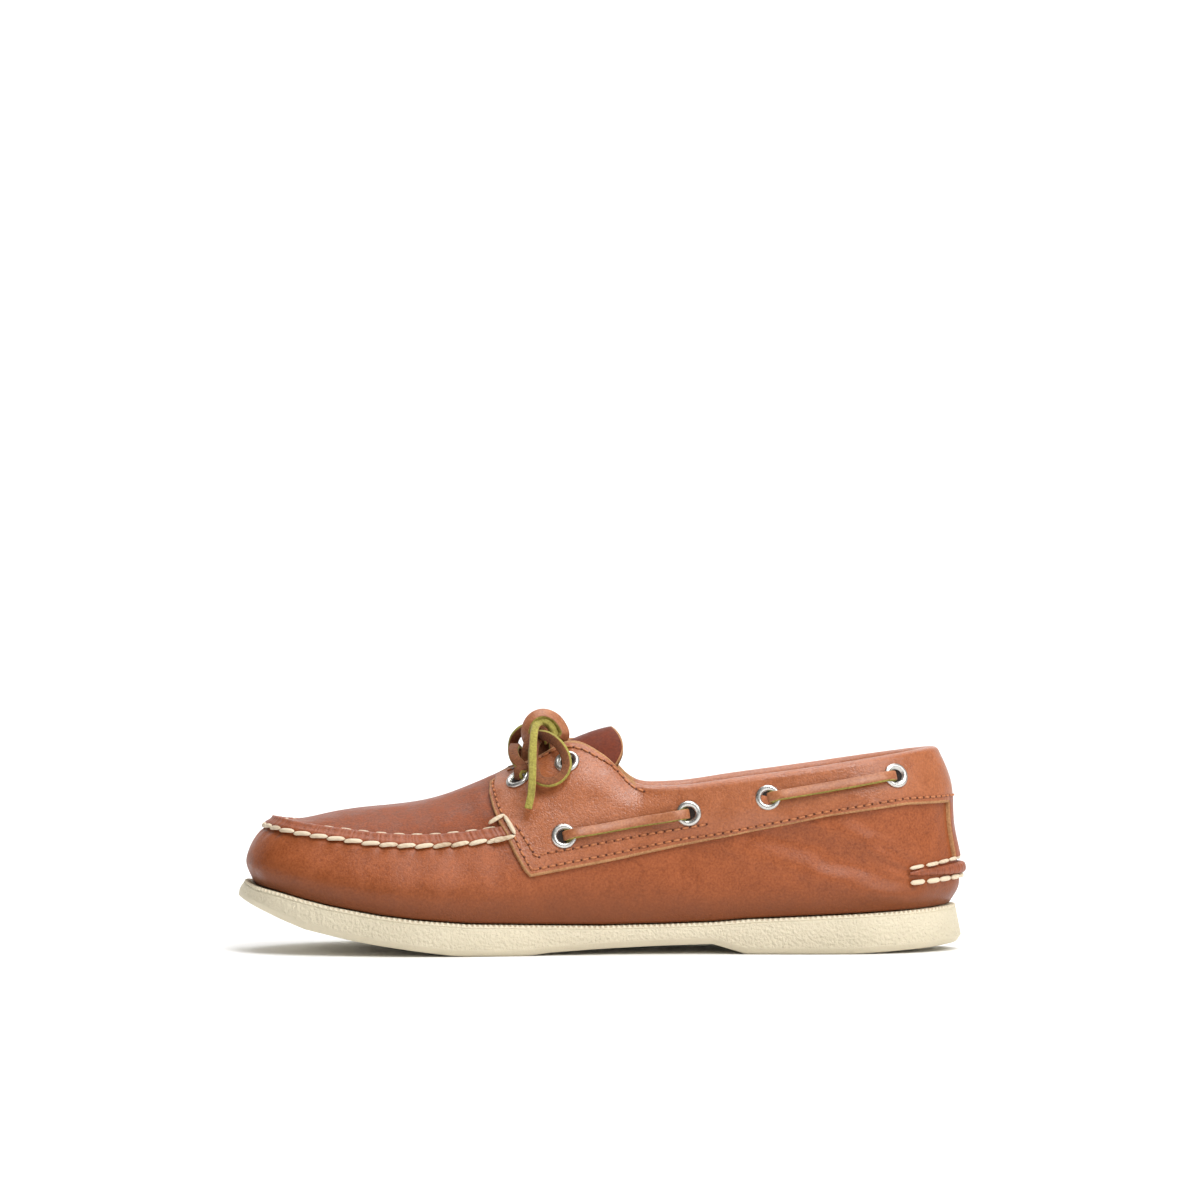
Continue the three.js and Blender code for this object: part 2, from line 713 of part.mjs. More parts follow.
for (const [name, route] of Object.entries(bowRoutes)) {
  const points = route.map((place) => new THREE.Vector3(...place));
  addSolid(name, cord(points, bowThickness, bowThickness, route.length + 2), "#c4885f");
}

export default shoe;
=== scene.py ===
import math

import bmesh
import bpy
import numpy as np
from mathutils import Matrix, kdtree


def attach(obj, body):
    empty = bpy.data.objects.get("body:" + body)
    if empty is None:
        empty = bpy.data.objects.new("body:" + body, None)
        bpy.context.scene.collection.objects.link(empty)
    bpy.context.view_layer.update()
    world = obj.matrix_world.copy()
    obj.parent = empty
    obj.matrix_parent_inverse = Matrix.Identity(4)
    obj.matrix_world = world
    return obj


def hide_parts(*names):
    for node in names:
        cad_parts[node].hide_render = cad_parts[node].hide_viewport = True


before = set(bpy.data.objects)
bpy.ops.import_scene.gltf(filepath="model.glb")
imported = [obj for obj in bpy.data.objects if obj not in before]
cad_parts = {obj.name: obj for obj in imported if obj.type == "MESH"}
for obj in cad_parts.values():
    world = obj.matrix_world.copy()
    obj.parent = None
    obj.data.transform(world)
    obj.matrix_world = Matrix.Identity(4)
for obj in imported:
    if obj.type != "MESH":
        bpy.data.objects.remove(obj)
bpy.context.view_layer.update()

# Camera: level, across the shoe from the inner side of the foot, far enough for a catalogue view.
# The picture is 1200 x 1200 and spans 497 mm at the middle of the shoe.
VIEW_DISTANCE = 2.0
VIEW_WIDTH = 0.4972
VIEW_HEIGHT = 0.1444
camera_data = bpy.data.cameras.new("camera")
camera_data.sensor_width = 36.0
camera_data.lens = 36.0 * VIEW_DISTANCE / VIEW_WIDTH
camera_data.clip_start, camera_data.clip_end = 0.05, 50.0
camera = bpy.data.objects.new("camera", camera_data)
camera.location = (0.0, -VIEW_DISTANCE, VIEW_HEIGHT)
camera.rotation_euler = (math.pi / 2, 0.0, 0.0)
bpy.context.collection.objects.link(camera)
bpy.context.scene.camera = camera


# Studio: a white table that sweeps up into a white wall far behind, in a white room that is darker on the toe's
# side. One soft light hangs over the shoe, a weaker one by the heel, and a third keeps the wall white.
def linear(hex_colour):
    """sRGB hex to linear light, channel by channel, by the sRGB curve."""
    s = np.array([int(hex_colour[i:i + 2], 16) / 255 for i in (1, 3, 5)])
    return tuple(np.where(s <= 0.04045, s / 12.92, ((s + 0.055) / 1.055) ** 2.4)) + (1.0,)


def put(tree, kind, settings=None, **links):
    """Adds a node, sets its properties and plain inputs, and links the inputs named in links. i0 is input 0."""
    node = tree.nodes.new("ShaderNode" + kind)
    for key, value in (settings or {}).items():
        if isinstance(key, str) and hasattr(node, key):
            setattr(node, key, value)
        else:
            node.inputs[key].default_value = value
    for key, source in links.items():
        socket = int(key[1:]) if key[1:].isdigit() else key.replace("_", " ")
        tree.links.new(source, node.inputs[socket])
    return node


def new_material(name):
    """An empty node material and its tree."""
    made = bpy.data.materials.new(name)
    made.use_nodes = True
    made.node_tree.nodes.clear()
    return made, made.node_tree


def even_material(name, face_hex, rough):
    """A material of one even colour, for the table and for the shade in holes."""
    made, tree = new_material(name)
    even = put(tree, "BsdfPrincipled", {"Base Color": linear(face_hex), "Roughness": rough})
    put(tree, "OutputMaterial", Surface=even.outputs[0])
    return made


bend = np.linspace(0, np.pi / 2, 17)
sweep = [(-3.0, 0.0)] + [(1.0 + math.sin(a), 1.0 - math.cos(a)) for a in bend] + [(2.0, 4.0)]
floor_mesh = bpy.data.meshes.new("floor")
floor_mesh.from_pydata([(x, y, z) for y, z in sweep for x in (-6, 6)], [],
                       [(2 * i, 2 * i + 1, 2 * i + 3, 2 * i + 2) for i in range(len(sweep) - 1)])
floor_mesh.polygons.foreach_set("use_smooth", [True] * len(floor_mesh.polygons))
floor = bpy.data.objects.new("floor", floor_mesh)
bpy.context.collection.objects.link(floor)
# Matt white board, which takes the soft shadow under the shoe
floor_mesh.materials.append(even_material("white_table", "#f4f4f4", 0.85))

world = bpy.data.worlds.new("white_room")
world.use_nodes = True
world.node_tree.nodes["Background"].inputs[0].default_value = (1, 1, 1, 1)
direction = put(world.node_tree, "SeparateXYZ", Vector=put(world.node_tree, "TexCoord").outputs["Generated"])
brightness = put(world.node_tree, "MapRange", {"From Min": -1.0, "From Max": 0.6, "To Min": 0.08, "To Max": 0.6},
                 Value=direction.outputs[0])
world.node_tree.links.new(brightness.outputs[0], world.node_tree.nodes["Background"].inputs[1])
bpy.context.scene.world = world
bpy.context.scene.view_settings.view_transform = "Standard"

for name, place, aim, size, power in [
    ("top_light", (0.3, -0.7, 1.15), (0.0, 0.0, 0.04), 0.6, 11.5),
    ("heel_light", (0.75, -0.7, 0.7), (0.08, 0.0, 0.05), 0.35, 4.0),
    ("wall_light", (0.0, 0.6, 2.4), (0.0, 2.0, 1.0), 1.6, 55.0),
]:
    light_data = bpy.data.lights.new(name, "AREA")
    light_data.size, light_data.energy = size, power
    light = bpy.data.objects.new(name, light_data)
    light.location = place
    toward = np.array(aim) - np.array(place)
    light.rotation_euler = (
        math.acos(-toward[2] / np.linalg.norm(toward)), 0.0, math.atan2(-toward[0], toward[1]))
    bpy.context.collection.objects.link(light)

# Upper: the moccasin body of oiled tan leather, wrapped up from the sole and closed by a plug over the toes.
# One hollow shell with a rolled collar. The last gives its form: ribs from the sole's edge to ridge or collar.
LENGTH, BALL, INSTEP, HEEL = 0.300, 0.104, 0.088, 0.0145  # metres: sole's length, ball's width, heights
WALL = 0.0022  # thickness of the hide
THROAT_ROW = 7  # the table row at which the plug's ridge ends and the throat opens
# Tables with one row for each rib, from toe to heel: along the length, inner and outer offsets over the ball width
OUTLINE = np.array([
    [0, 0.077, -0.077], [0.008, 0.202, 0.058], [0.03, 0.308, 0.183], [0.067, 0.385, 0.303],
    [0.117, 0.436, 0.399], [0.18, 0.474, 0.476], [0.25, 0.49, 0.51], [0.327, 0.473, 0.512],
    [0.393, 0.438, 0.487], [0.46, 0.396, 0.452], [0.51, 0.369, 0.423], [0.557, 0.351, 0.402],
    [0.61, 0.34, 0.385], [0.7, 0.337, 0.363], [0.793, 0.344, 0.35], [0.873, 0.327, 0.327],
    [0.93, 0.269, 0.269], [0.97, 0.178, 0.178], [0.993, 0.087, 0.087], [1, 0, 0]])
# along the length, lower and upper edge of the sole over the heel height
SIDE_LINE = np.array([
    [0, 1.63, 2.12], [0.03, 1.34, 1.9], [0.067, 1.01, 1.74], [0.1, 0.745, 1.56], [0.133, 0.59, 1.4],
    [0.167, 0.435, 1.27], [0.2, 0.315, 1.15], [0.25, 0.16, 1.02], [0.3, 0.03, 0.94], [0.32, 0, 0.905],
    [0.4, 0, 0.865], [0.43, 0.08, 0.85], [0.5, 0.17, 0.82], [0.58, 0.245, 0.85], [0.653, 0.29, 0.9],
    [0.7, 0, 0.98], [0.84, 0, 1.115], [0.89, 0.06, 1.17], [0.95, 0.14, 1.24], [1, 0.25, 1.32]])
# shoulder and toe seam: along, inner, outer, height over the instep height
SHOULDER = np.array([
    [0.043, 0.067, -0.067, 0.602], [0.051, 0.173, 0.038, 0.6], [0.072, 0.26, 0.135, 0.589],
    [0.105, 0.308, 0.216, 0.572], [0.15, 0.337, 0.279, 0.552], [0.203, 0.359, 0.327, 0.532],
    [0.263, 0.365, 0.351, 0.525], [0.33, 0.361, 0.356, 0.543], [0.393, 0.346, 0.356, 0.58],
    [0.457, 0.327, 0.346, 0.636], [0.507, 0.313, 0.337, 0.648], [0.553, 0.306, 0.33, 0.602],
    [0.61, 0.308, 0.325, 0.551], [0.697, 0.314, 0.32, 0.523], [0.79, 0.32, 0.32, 0.534],
    [0.867, 0.306, 0.306, 0.557], [0.922, 0.245, 0.245, 0.568], [0.96, 0.162, 0.162, 0.58],
    [0.978, 0.079, 0.079, 0.591], [0.983, 0, 0, 0.597]])
# ridge of the plug, then edge of throat and collar: along, inner, outer, height, swell in walls
TOP_LINE = np.array([
    [0.127, 0.048, -0.048, 0.634, 0.2], [0.147, 0.048, -0.048, 0.647, 0.5],
    [0.173, 0.043, -0.043, 0.659, 0.9], [0.203, 0.038, -0.038, 0.673, 1.3],
    [0.237, 0.032, -0.032, 0.686, 1.7], [0.277, 0.024, -0.024, 0.718, 1.7],
    [0.323, 0.014, -0.014, 0.777, 1.6], [0.36, 0.01, -0.01, 0.832, 1.6], [0.413, 0.12, 0.11, 0.913, 1.5],
    [0.462, 0.163, 0.156, 0.998, 1.3], [0.503, 0.197, 0.192, 0.928, 1], [0.548, 0.245, 0.24, 0.787, 0.6],
    [0.603, 0.285, 0.285, 0.775, 0.5], [0.693, 0.303, 0.303, 0.82, 0.4], [0.787, 0.293, 0.293, 0.868, 0.5],
    [0.857, 0.263, 0.263, 0.907, 0.7], [0.907, 0.197, 0.197, 0.936, 0.9], [0.94, 0.115, 0.115, 0.955, 1.1],
    [0.953, 0.058, 0.058, 0.961, 1.2], [0.958, 0, 0, 0.963, 1.2]])
FEATHER_INSET = (0.0044, 0.0026, 0.001)
BULGE_INSET = (0.0022, 0.0019, -0.0009)
RIM_INSET = (0.0004, 0.0034, 0.0026)
LAST = len(OUTLINE) - 1
TURN = 2 * LAST  # rows once round the shoe: inner side out, outer side back
ROW_STEPS, SHARE_STEPS, RIB_STEPS = 16, 160, 16  # steps in a row, in a whole rib and between two of its controls


def between(p0, p1, p2, p3, w):
    """Centripetal Catmull-Rom: the cubic from p1 to p2 at share w, with tangents weighted by root chord lengths."""
    d0, d1, d2 = (np.sqrt(np.linalg.norm(b - a, axis=-1, keepdims=True)) for a, b in ((p0, p1), (p1, p2), (p2, p3)))
    d1 = np.where(d1 < 1e-5, 1, d1)
    d0, d2 = np.where(d0 < 1e-5, d1, d0), np.where(d2 < 1e-5, d1, d2)
    t1 = ((p1 - p0) / d0 - (p2 - p0) / (d0 + d1) + (p2 - p1) / d1) * d1
    t2 = ((p2 - p1) / d1 - (p3 - p1) / (d1 + d2) + (p3 - p2) / d2) * d1
    a, b = 2 * p1 - 2 * p2 + t1 + t2, -3 * p1 + 3 * p2 - 2 * t1 - t2
    return ((a * w + b) * w + t1) * w + p1


def spline(points, at, closed=False):
    """The smooth curve through rows of points, read at row numbers with fractions."""
    points, at = np.asarray(points, float), np.asarray(at, float)
    if closed:
        padded = np.concatenate([points[-1:], points, points[:2]])
        at = at % len(points)
    else:
        padded = np.concatenate([2 * points[:1] - points[1:2], points, 2 * points[-1:] - points[-2:-1]])
        at = np.clip(at, 0, len(points) - 1 - 1e-9)
    low = np.floor(at).astype(int)
    p0, p1, p2, p3 = (padded[low + i] for i in range(4))
    return between(p0, p1, p2, p3, (at - low)[..., None])


def loop_points(rows):
    """Points once round a table: its inner side from toe to heel, then its outer side back."""
    height = rows[:, 3] * INSTEP if rows.shape[1] > 3 else 0 * rows[:, 0]
    inner = np.stack([(rows[:, 0] - 0.5) * LENGTH, -rows[:, 1] * BALL, height], 1)
    outer = np.stack([(rows[:, 0] - 0.5) * LENGTH, rows[:, 2] * BALL, height], 1)
    return np.concatenate([inner, outer[1:-1][::-1]])


def side_height(x, column):
    """Height of the sole's lower (1) or upper (2) edge at x, along straight runs between table rows."""
    return np.interp(x / LENGTH + 0.5, SIDE_LINE[:, 0], SIDE_LINE[:, column]) * HEEL


def plan(row):
    """Point on the sole's outline and its outward direction, at a row number round the shoe."""
    points = loop_points(OUTLINE)
    step = spline(points, row + 0.038, True) - spline(points, row - 0.038, True)
    outward = np.stack([-step[..., 1], step[..., 0], 0 * step[..., 0]], -1)
    outward /= np.linalg.norm(outward, axis=-1, keepdims=True)
    point = spline(points, row, True)
    flip = np.sign(outward[..., 0] * point[..., 0] / 4 + outward[..., 1] * point[..., 1])
    return point, outward * flip[..., None]


def inset(point, outward, sizes):
    """Moves outline points inwards by a side size, plus what the toe or heel adds where the outline faces there."""
    side, toe, heel = sizes
    by = side + np.where(outward[..., 0] < 0, toe, heel) * outward[..., 0] ** 2
    return point - outward * by[..., None]


def ribs(row):
    """Each rib as a fine polyline: a smooth curve through feather, bulge, shoulder, crown and top edge."""
    point, outward = plan(row)
    feather = inset(point, outward, FEATHER_INSET)
    feather[:, 2] = side_height(feather[:, 0], 2) + 0.0005
    shoulder = spline(loop_points(SHOULDER), row, True)
    bulge = inset(point, outward, BULGE_INSET)
    rise = 0.37 - 0.13 * (bulge[:, 0] / LENGTH + 0.5)
    bulge[:, 2] = feather[:, 2] + (shoulder[:, 2] - feather[:, 2]) * rise
    half = np.minimum(row % TURN, TURN - row % TURN)
    ridge_rows = np.stack([(TOP_LINE[:, 0] - 0.5) * LENGTH, -TOP_LINE[:, 1] * BALL, TOP_LINE[:, 3] * INSTEP], 1)
    ridge = spline(ridge_rows[:THROAT_ROW + 1], np.minimum(half, THROAT_ROW))
    opening = loop_points(TOP_LINE[THROAT_ROW:])
    place = np.where(row % TURN <= LAST, half - THROAT_ROW, len(opening) - (half - THROAT_ROW))
    edge = spline(opening, place, True)
    top = np.where((half <= THROAT_ROW)[:, None], ridge, edge)
    swell = WALL * np.interp(half, np.arange(LAST + 1), TOP_LINE[:, 4])
    run = top - shoulder
    lift = outward * run[:, 2:3] + [0, 0, 1] * np.hypot(run[:, 0], run[:, 1])[:, None]
    crown = (shoulder + top) / 2 + lift / np.linalg.norm(lift, axis=1, keepdims=True) * swell[:, None]
    controls = [feather, bulge, shoulder, crown, top]
    other = crown * [1, -1, 1] + [0, 2, 0] * top  # the crown mirrored over the ridge, so that the plug runs level
    after = np.where((half <= THROAT_ROW)[:, None], other, 2 * top - crown)
    chain = [2 * feather - bulge, *controls, after]
    share = np.arange(RIB_STEPS)[:, None, None] / RIB_STEPS
    pieces = [between(*chain[i:i + 4], share) for i in range(4)]
    return np.concatenate([*pieces, top[None]]).transpose(1, 0, 2)


def by_length(lines, middle, shares):
    """Resamples polylines at shares of their arc length: 0 to 0.5 up to the point numbered middle, then on to 1."""
    steps = np.linalg.norm(np.diff(lines, axis=1), axis=2)
    length = np.concatenate([np.zeros((len(lines), 1)), np.cumsum(steps, 1)], 1)
    half = length[:, middle:middle + 1]
    stops = np.where(shares <= 0.5, shares * 2 * half, half + (shares - 0.5) * 2 * (length[:, -1:] - half))
    rows = [np.stack([np.interp(s, l, p[:, k]) for k in range(3)], 1) for s, l, p in zip(stops, length, lines)]
    return np.array(rows), half[:, 0], (length[:, -1:] - half)[:, 0]


MASTER_ROWS = np.arange(TURN * ROW_STEPS) / ROW_STEPS
MASTER_SHARES = np.linspace(0, 1, SHARE_STEPS + 1)
master, lower_length, upper_length = by_length(ribs(MASTER_ROWS), 2 * RIB_STEPS, MASTER_SHARES)
along_row = np.roll(master, -1, 0) - np.roll(master, 1, 0)
up_rib = np.gradient(master, axis=1)
master_normal = np.cross(up_rib, along_row)
master_normal[0, -1] = master_normal[0, -2]
master_normal /= np.linalg.norm(master_normal, axis=2, keepdims=True)
if master_normal[len(MASTER_ROWS) // 2, SHARE_STEPS // 3, 0] < 0:
    master_normal = -master_normal
half_rows = np.minimum(MASTER_ROWS, TURN - MASTER_ROWS)
on_ridge = half_rows <= THROAT_ROW
mirror = (-np.arange(len(MASTER_ROWS))) % len(MASTER_ROWS)
shared = master_normal[:, -1] + master_normal[mirror, -1]
fade = np.clip((MASTER_SHARES - 0.9) / 0.1, 0, 1)[None, :, None] * on_ridge[:, None, None]
master_normal = master_normal * (1 - fade) + shared[:, None] / 2 * fade
master_normal /= np.linalg.norm(master_normal, axis=2, keepdims=True)


def read_grid(grid, row, share):
    """Bilinear reading of a master grid at row numbers and shares of the rib."""
    r, s = (row % TURN) * ROW_STEPS, np.clip(share, 0, 1) * SHARE_STEPS
    r0, s0 = np.floor(r).astype(int) % len(MASTER_ROWS), np.minimum(np.floor(s).astype(int), SHARE_STEPS - 1)
    fr, fs = (r - np.floor(r))[..., None], (s - s0)[..., None]
    r1 = (r0 + 1) % len(MASTER_ROWS)
    low = grid[r0, s0] * (1 - fs) + grid[r0, s0 + 1] * fs
    return low * (1 - fr) + (grid[r1, s0] * (1 - fs) + grid[r1, s0 + 1] * fs) * fr


# Folds that the leather took on the last: from x, z to x, z in the side view, width and depth in mm, then the side
# that they lie on, -1 for the inner one, 1 for the outer one and 0 for both
FOLDS = [
    (62, 50.5, 127, 31.8, 5.0, 1.5, -1), (92, 36.5, 127, 30.2, 3.4, 0.8, -1), (104, 57.0, 128, 36.5, 3.6, 0.7, -1),
    (100, 29.0, 127, 27.6, 2.6, 0.5, -1), (112, 45.0, 128, 35.5, 1.8, 0.45, -1), (111, 39.5, 126, 33.6, 1.6, 0.45, -1),
    (119, 43.0, 128, 36.5, 1.2, 0.3, -1), (116, 36.5, 126, 33.0, 1.1, 0.3, -1),
    (66, 50.5, 127, 31.8, 5.0, 1.3, 1), (96, 53.5, 127, 35.5, 3.4, 0.6, 1), (100, 30.0, 127, 28.4, 2.6, 0.5, 1),
    (113, 40.0, 127, 34.0, 1.6, 0.4, 1),
    (-92, 36, -97, 22, 4.5, 0.16, 0), (-74, 36, -75, 20, 5.0, 0.18, 0), (-57, 38, -55, 18, 5.0, 0.18, 0),
    (-42, 41, -38, 18, 4.2, 0.2, 0), (-110, 40, -116, 27, 4.0, 0.16, 0), (-31, 28, -20, 16, 4.0, 0.2, 0),
    (-6, 34, 20, 24, 6.0, 0.2, 0), (30, 40, 62, 26, 6.5, 0.2, 0), (-60, 66, -52, 54, 5.0, 0.25, 0),
    (-47, 70, -44, 60, 2.6, 0.4, 0), (-14, 60, 14, 66, 5.0, 0.35, 0), (-2, 72, 16, 64, 3.0, 0.16, 0)]


def fold_depth(points, normals):
    """Sum of soft troughs: each is a Gaussian of the distance from a line in the side view, on its own side."""
    total = np.zeros(points.shape[:-1])
    x, z = points[..., 0] * 1000, points[..., 2] * 1000
    for x0, z0, x1, z1, width, depth, side in FOLDS:
        dx, dz = x1 - x0, z1 - z0
        share = np.clip(((x - x0) * dx + (z - z0) * dz) / (dx * dx + dz * dz), 0, 1)
        away = np.hypot(x - x0 - share * dx, z - z0 - share * dz)
        ends = 0.45 + 0.55 * np.sin(np.pi * np.clip(share, 0.03, 0.97)) ** 0.5
        facing = np.clip(np.abs(normals[..., 1]) * 2 - 0.4, 0, 1) * (1 if side == 0 else (points[..., 1] * side > 0))
        trough = np.exp(-(away / width) ** 2) - 0.55 * np.exp(-((away - 1.9 * width) / (0.9 * width)) ** 2)
        total += depth * ends * facing * trough
    return total / 1000


seam_line = master[:, SHARE_STEPS // 2]
seam_run = np.cumsum(np.append(0, np.linalg.norm(seam_line - np.roll(seam_line, 1, 0), axis=1)[1:]))
STITCH_PITCH = 0.0073  # from one thick stitch to the next


def pucker_depth(row, share):
    """Gathers below the toe seam: a cosine of the run along the seam at the stitch pitch, fading 3 to 9 mm down."""
    turn = row % TURN
    run = np.interp(turn, MASTER_ROWS, seam_run) * 2 * np.pi / STITCH_PITCH
    down = (0.5 - share) * 2 * np.interp(turn, MASTER_ROWS, lower_length)
    front = np.clip(7.6 - np.minimum(turn, TURN - turn), 0, 1)
    fade = np.exp(-((down - 0.0045) / 0.0028) ** 2) * (down > 0)
    return 0.00022 * front * fade * (np.cos(run + 0.4 * np.sin(run * 0.31)) - 0.3)


def plug_dip(point, share):
    """How far the plug lies below its last behind the front of the toe seam: a Gaussian of the distance from there."""
    front = np.exp(-((point[..., 0] + 0.127) / 0.016) ** 2)
    return 0.0016 * front * np.clip((share - 0.51) / 0.12, 0, 1)


def skin(row, share, lift=0.0, folded=True):
    """Points of the upper's outside at row numbers and rib shares, raised along the surface's own direction. Soft
    Gaussian moves lean the toe back to its seam, and let the seam sag on the outer side of the toes."""
    row, share = np.broadcast_arrays(np.asarray(row, float), np.asarray(share, float))
    point, normal = read_grid(master, row, share), read_grid(master_normal, row, share)
    normal = normal / np.linalg.norm(normal, axis=-1, keepdims=True)
    down = fold_depth(point, normal) + pucker_depth(row, share) + plug_dip(point, share) if folded else 0 * share
    leaning = np.exp(-((point[..., 0] + 0.14) / 0.013) ** 2 - ((share - 0.5) / 0.09) ** 2)
    point = point + leaning[..., None] * [0.0024, 0, 0]
    sagging = np.exp(-((point[..., 0] + 0.134) / 0.011) ** 2 - ((share - 0.5) / 0.12) ** 2)
    sagging = sagging * np.clip((point[..., 1] + 0.006) / 0.02, 0, 1)
    point = point - sagging[..., None] * [0, 0, 0.0021]
    return point + normal * (lift - down)[..., None], normal


def openness(row):
    """0 on the ribs that end on the plug's ridge, 1 on those that end at throat or collar."""
    half = np.minimum(row % TURN, TURN - row % TURN)
    return np.clip((half - THROAT_ROW) / 0.6, 0, 1)


def collar(row):
    """0 on the facings, 1 round the padded collar."""
    return np.clip((np.minimum(row % TURN, TURN - row % TURN) - 10.75) / 0.45, 0, 1)


def padding(row, share):
    """Thickness of the shell: the wall, and more where the collar is padded towards its top."""
    return WALL + 0.0026 * collar(row) * np.clip((share - 0.66) / 0.22, 0, 1)


def rim_share(row):
    """Share of a rib at which the leather starts to roll over the edge of throat or collar."""
    return 1 - 0.05 * openness(row)


def shell(row, s, lift=0.0):
    """The outside up to the rolled edge for s to 1, round the roll for s to 2, then 10 mm down the lining."""
    row, s, lift = np.broadcast_arrays(np.asarray(row, float), np.asarray(s, float), np.asarray(lift, float))
    end = rim_share(row)
    point, _ = skin(row, np.minimum(s, 1) * end, lift)
    edge, edge_normal = skin(row, end, 0.0, False)
    before, _ = skin(row, end - 0.03, 0.0, False)
    ahead = (edge - before) / np.linalg.norm(edge - before, axis=-1, keepdims=True)
    ahead = ahead + (1 - openness(row))[..., None] * np.array([2.6, 0.0, 1.1])
    ahead /= np.linalg.norm(ahead, axis=-1, keepdims=True)
    radius = padding(row, end)[..., None] / 2
    angle = np.pi * np.clip(s - 1, 0, 1)[..., None]
    kept = 1 - (0.8 - 0.8 * collar(row)[..., None]) * np.sin(angle / 2) ** 2
    over = lift[..., None] * kept
    flat = np.minimum(radius, 0.0014) + over
    turned = edge + edge_normal * (np.cos(angle) * (radius + over) - radius) + ahead * np.sin(angle) * flat
    turned = turned - ahead * np.clip(s - 2, 0, 1)[..., None] * 0.01
    return np.where((s > 1)[..., None], turned, point)


def numbers(grid, start=0):
    """Vertex numbers of a grid of points, from start on."""
    return start + np.arange(grid.shape[0] * grid.shape[1]).reshape(grid.shape[:2])


def cells(index, around=False, closed=False):
    """Quads between neighbours of a grid of vertex numbers, closed round either way if asked."""
    if around:
        index = np.concatenate([index, index[:1]])
    if closed:
        index = np.concatenate([index, index[:, :1]], 1)
    return np.stack([index[:-1, :-1], index[1:, :-1], index[1:, 1:], index[:-1, 1:]], -1).reshape(-1, 4)


def add_piece(name, points, faces, finishes, which=None, uv=None, outwards=True):
    """A smooth mesh that rides on the shoe. Each quad keeps its finish, and one shrunk to a triangle becomes it."""
    faces = np.asarray(faces)
    which = np.zeros(len(faces), int) if which is None else np.asarray(which)
    repeated = faces == np.roll(faces, 1, 1)
    whole = ~repeated.any(1)
    thin = [i for i in np.flatnonzero(repeated.sum(1) == 1) if len(np.unique(faces[i])) == 3]
    corners = [faces[i][~repeated[i]].tolist() for i in thin]
    listed = faces[whole].tolist() + corners
    chosen = np.concatenate([which[whole], which[np.array(thin, int)]])
    used = np.unique(np.concatenate([faces[whole].ravel(), np.array(corners, int).ravel()]))
    renumber = np.full(used.max() + 1, -1)
    renumber[used] = np.arange(len(used))
    mesh = bpy.data.meshes.new(name)
    kept = np.asarray(points, float).reshape(-1, 3)[used]
    mesh.from_pydata(kept.tolist(), [], [renumber[f].tolist() for f in listed])
    for finish in finishes:
        mesh.materials.append(finish)
    mesh.polygons.foreach_set("material_index", chosen.astype(np.int32))
    if uv is not None:
        corner = np.empty(len(mesh.loops), np.int32)
        mesh.loops.foreach_get("vertex_index", corner)
        spread = np.asarray(uv, float).reshape(-1, 2)[used][corner]
        mesh.uv_layers.new(name="UVMap").data.foreach_set("uv", spread.ravel())
    if outwards:
        shaped = bmesh.new()
        shaped.from_mesh(mesh)
        bmesh.ops.recalc_face_normals(shaped, faces=shaped.faces)
        shaped.to_mesh(mesh)
        shaped.free()
    mesh.polygons.foreach_set("use_smooth", np.ones(len(mesh.polygons), bool))
    made = bpy.data.objects.new(name, mesh)
    bpy.context.collection.objects.link(made)
    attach(made, "root")
    return made


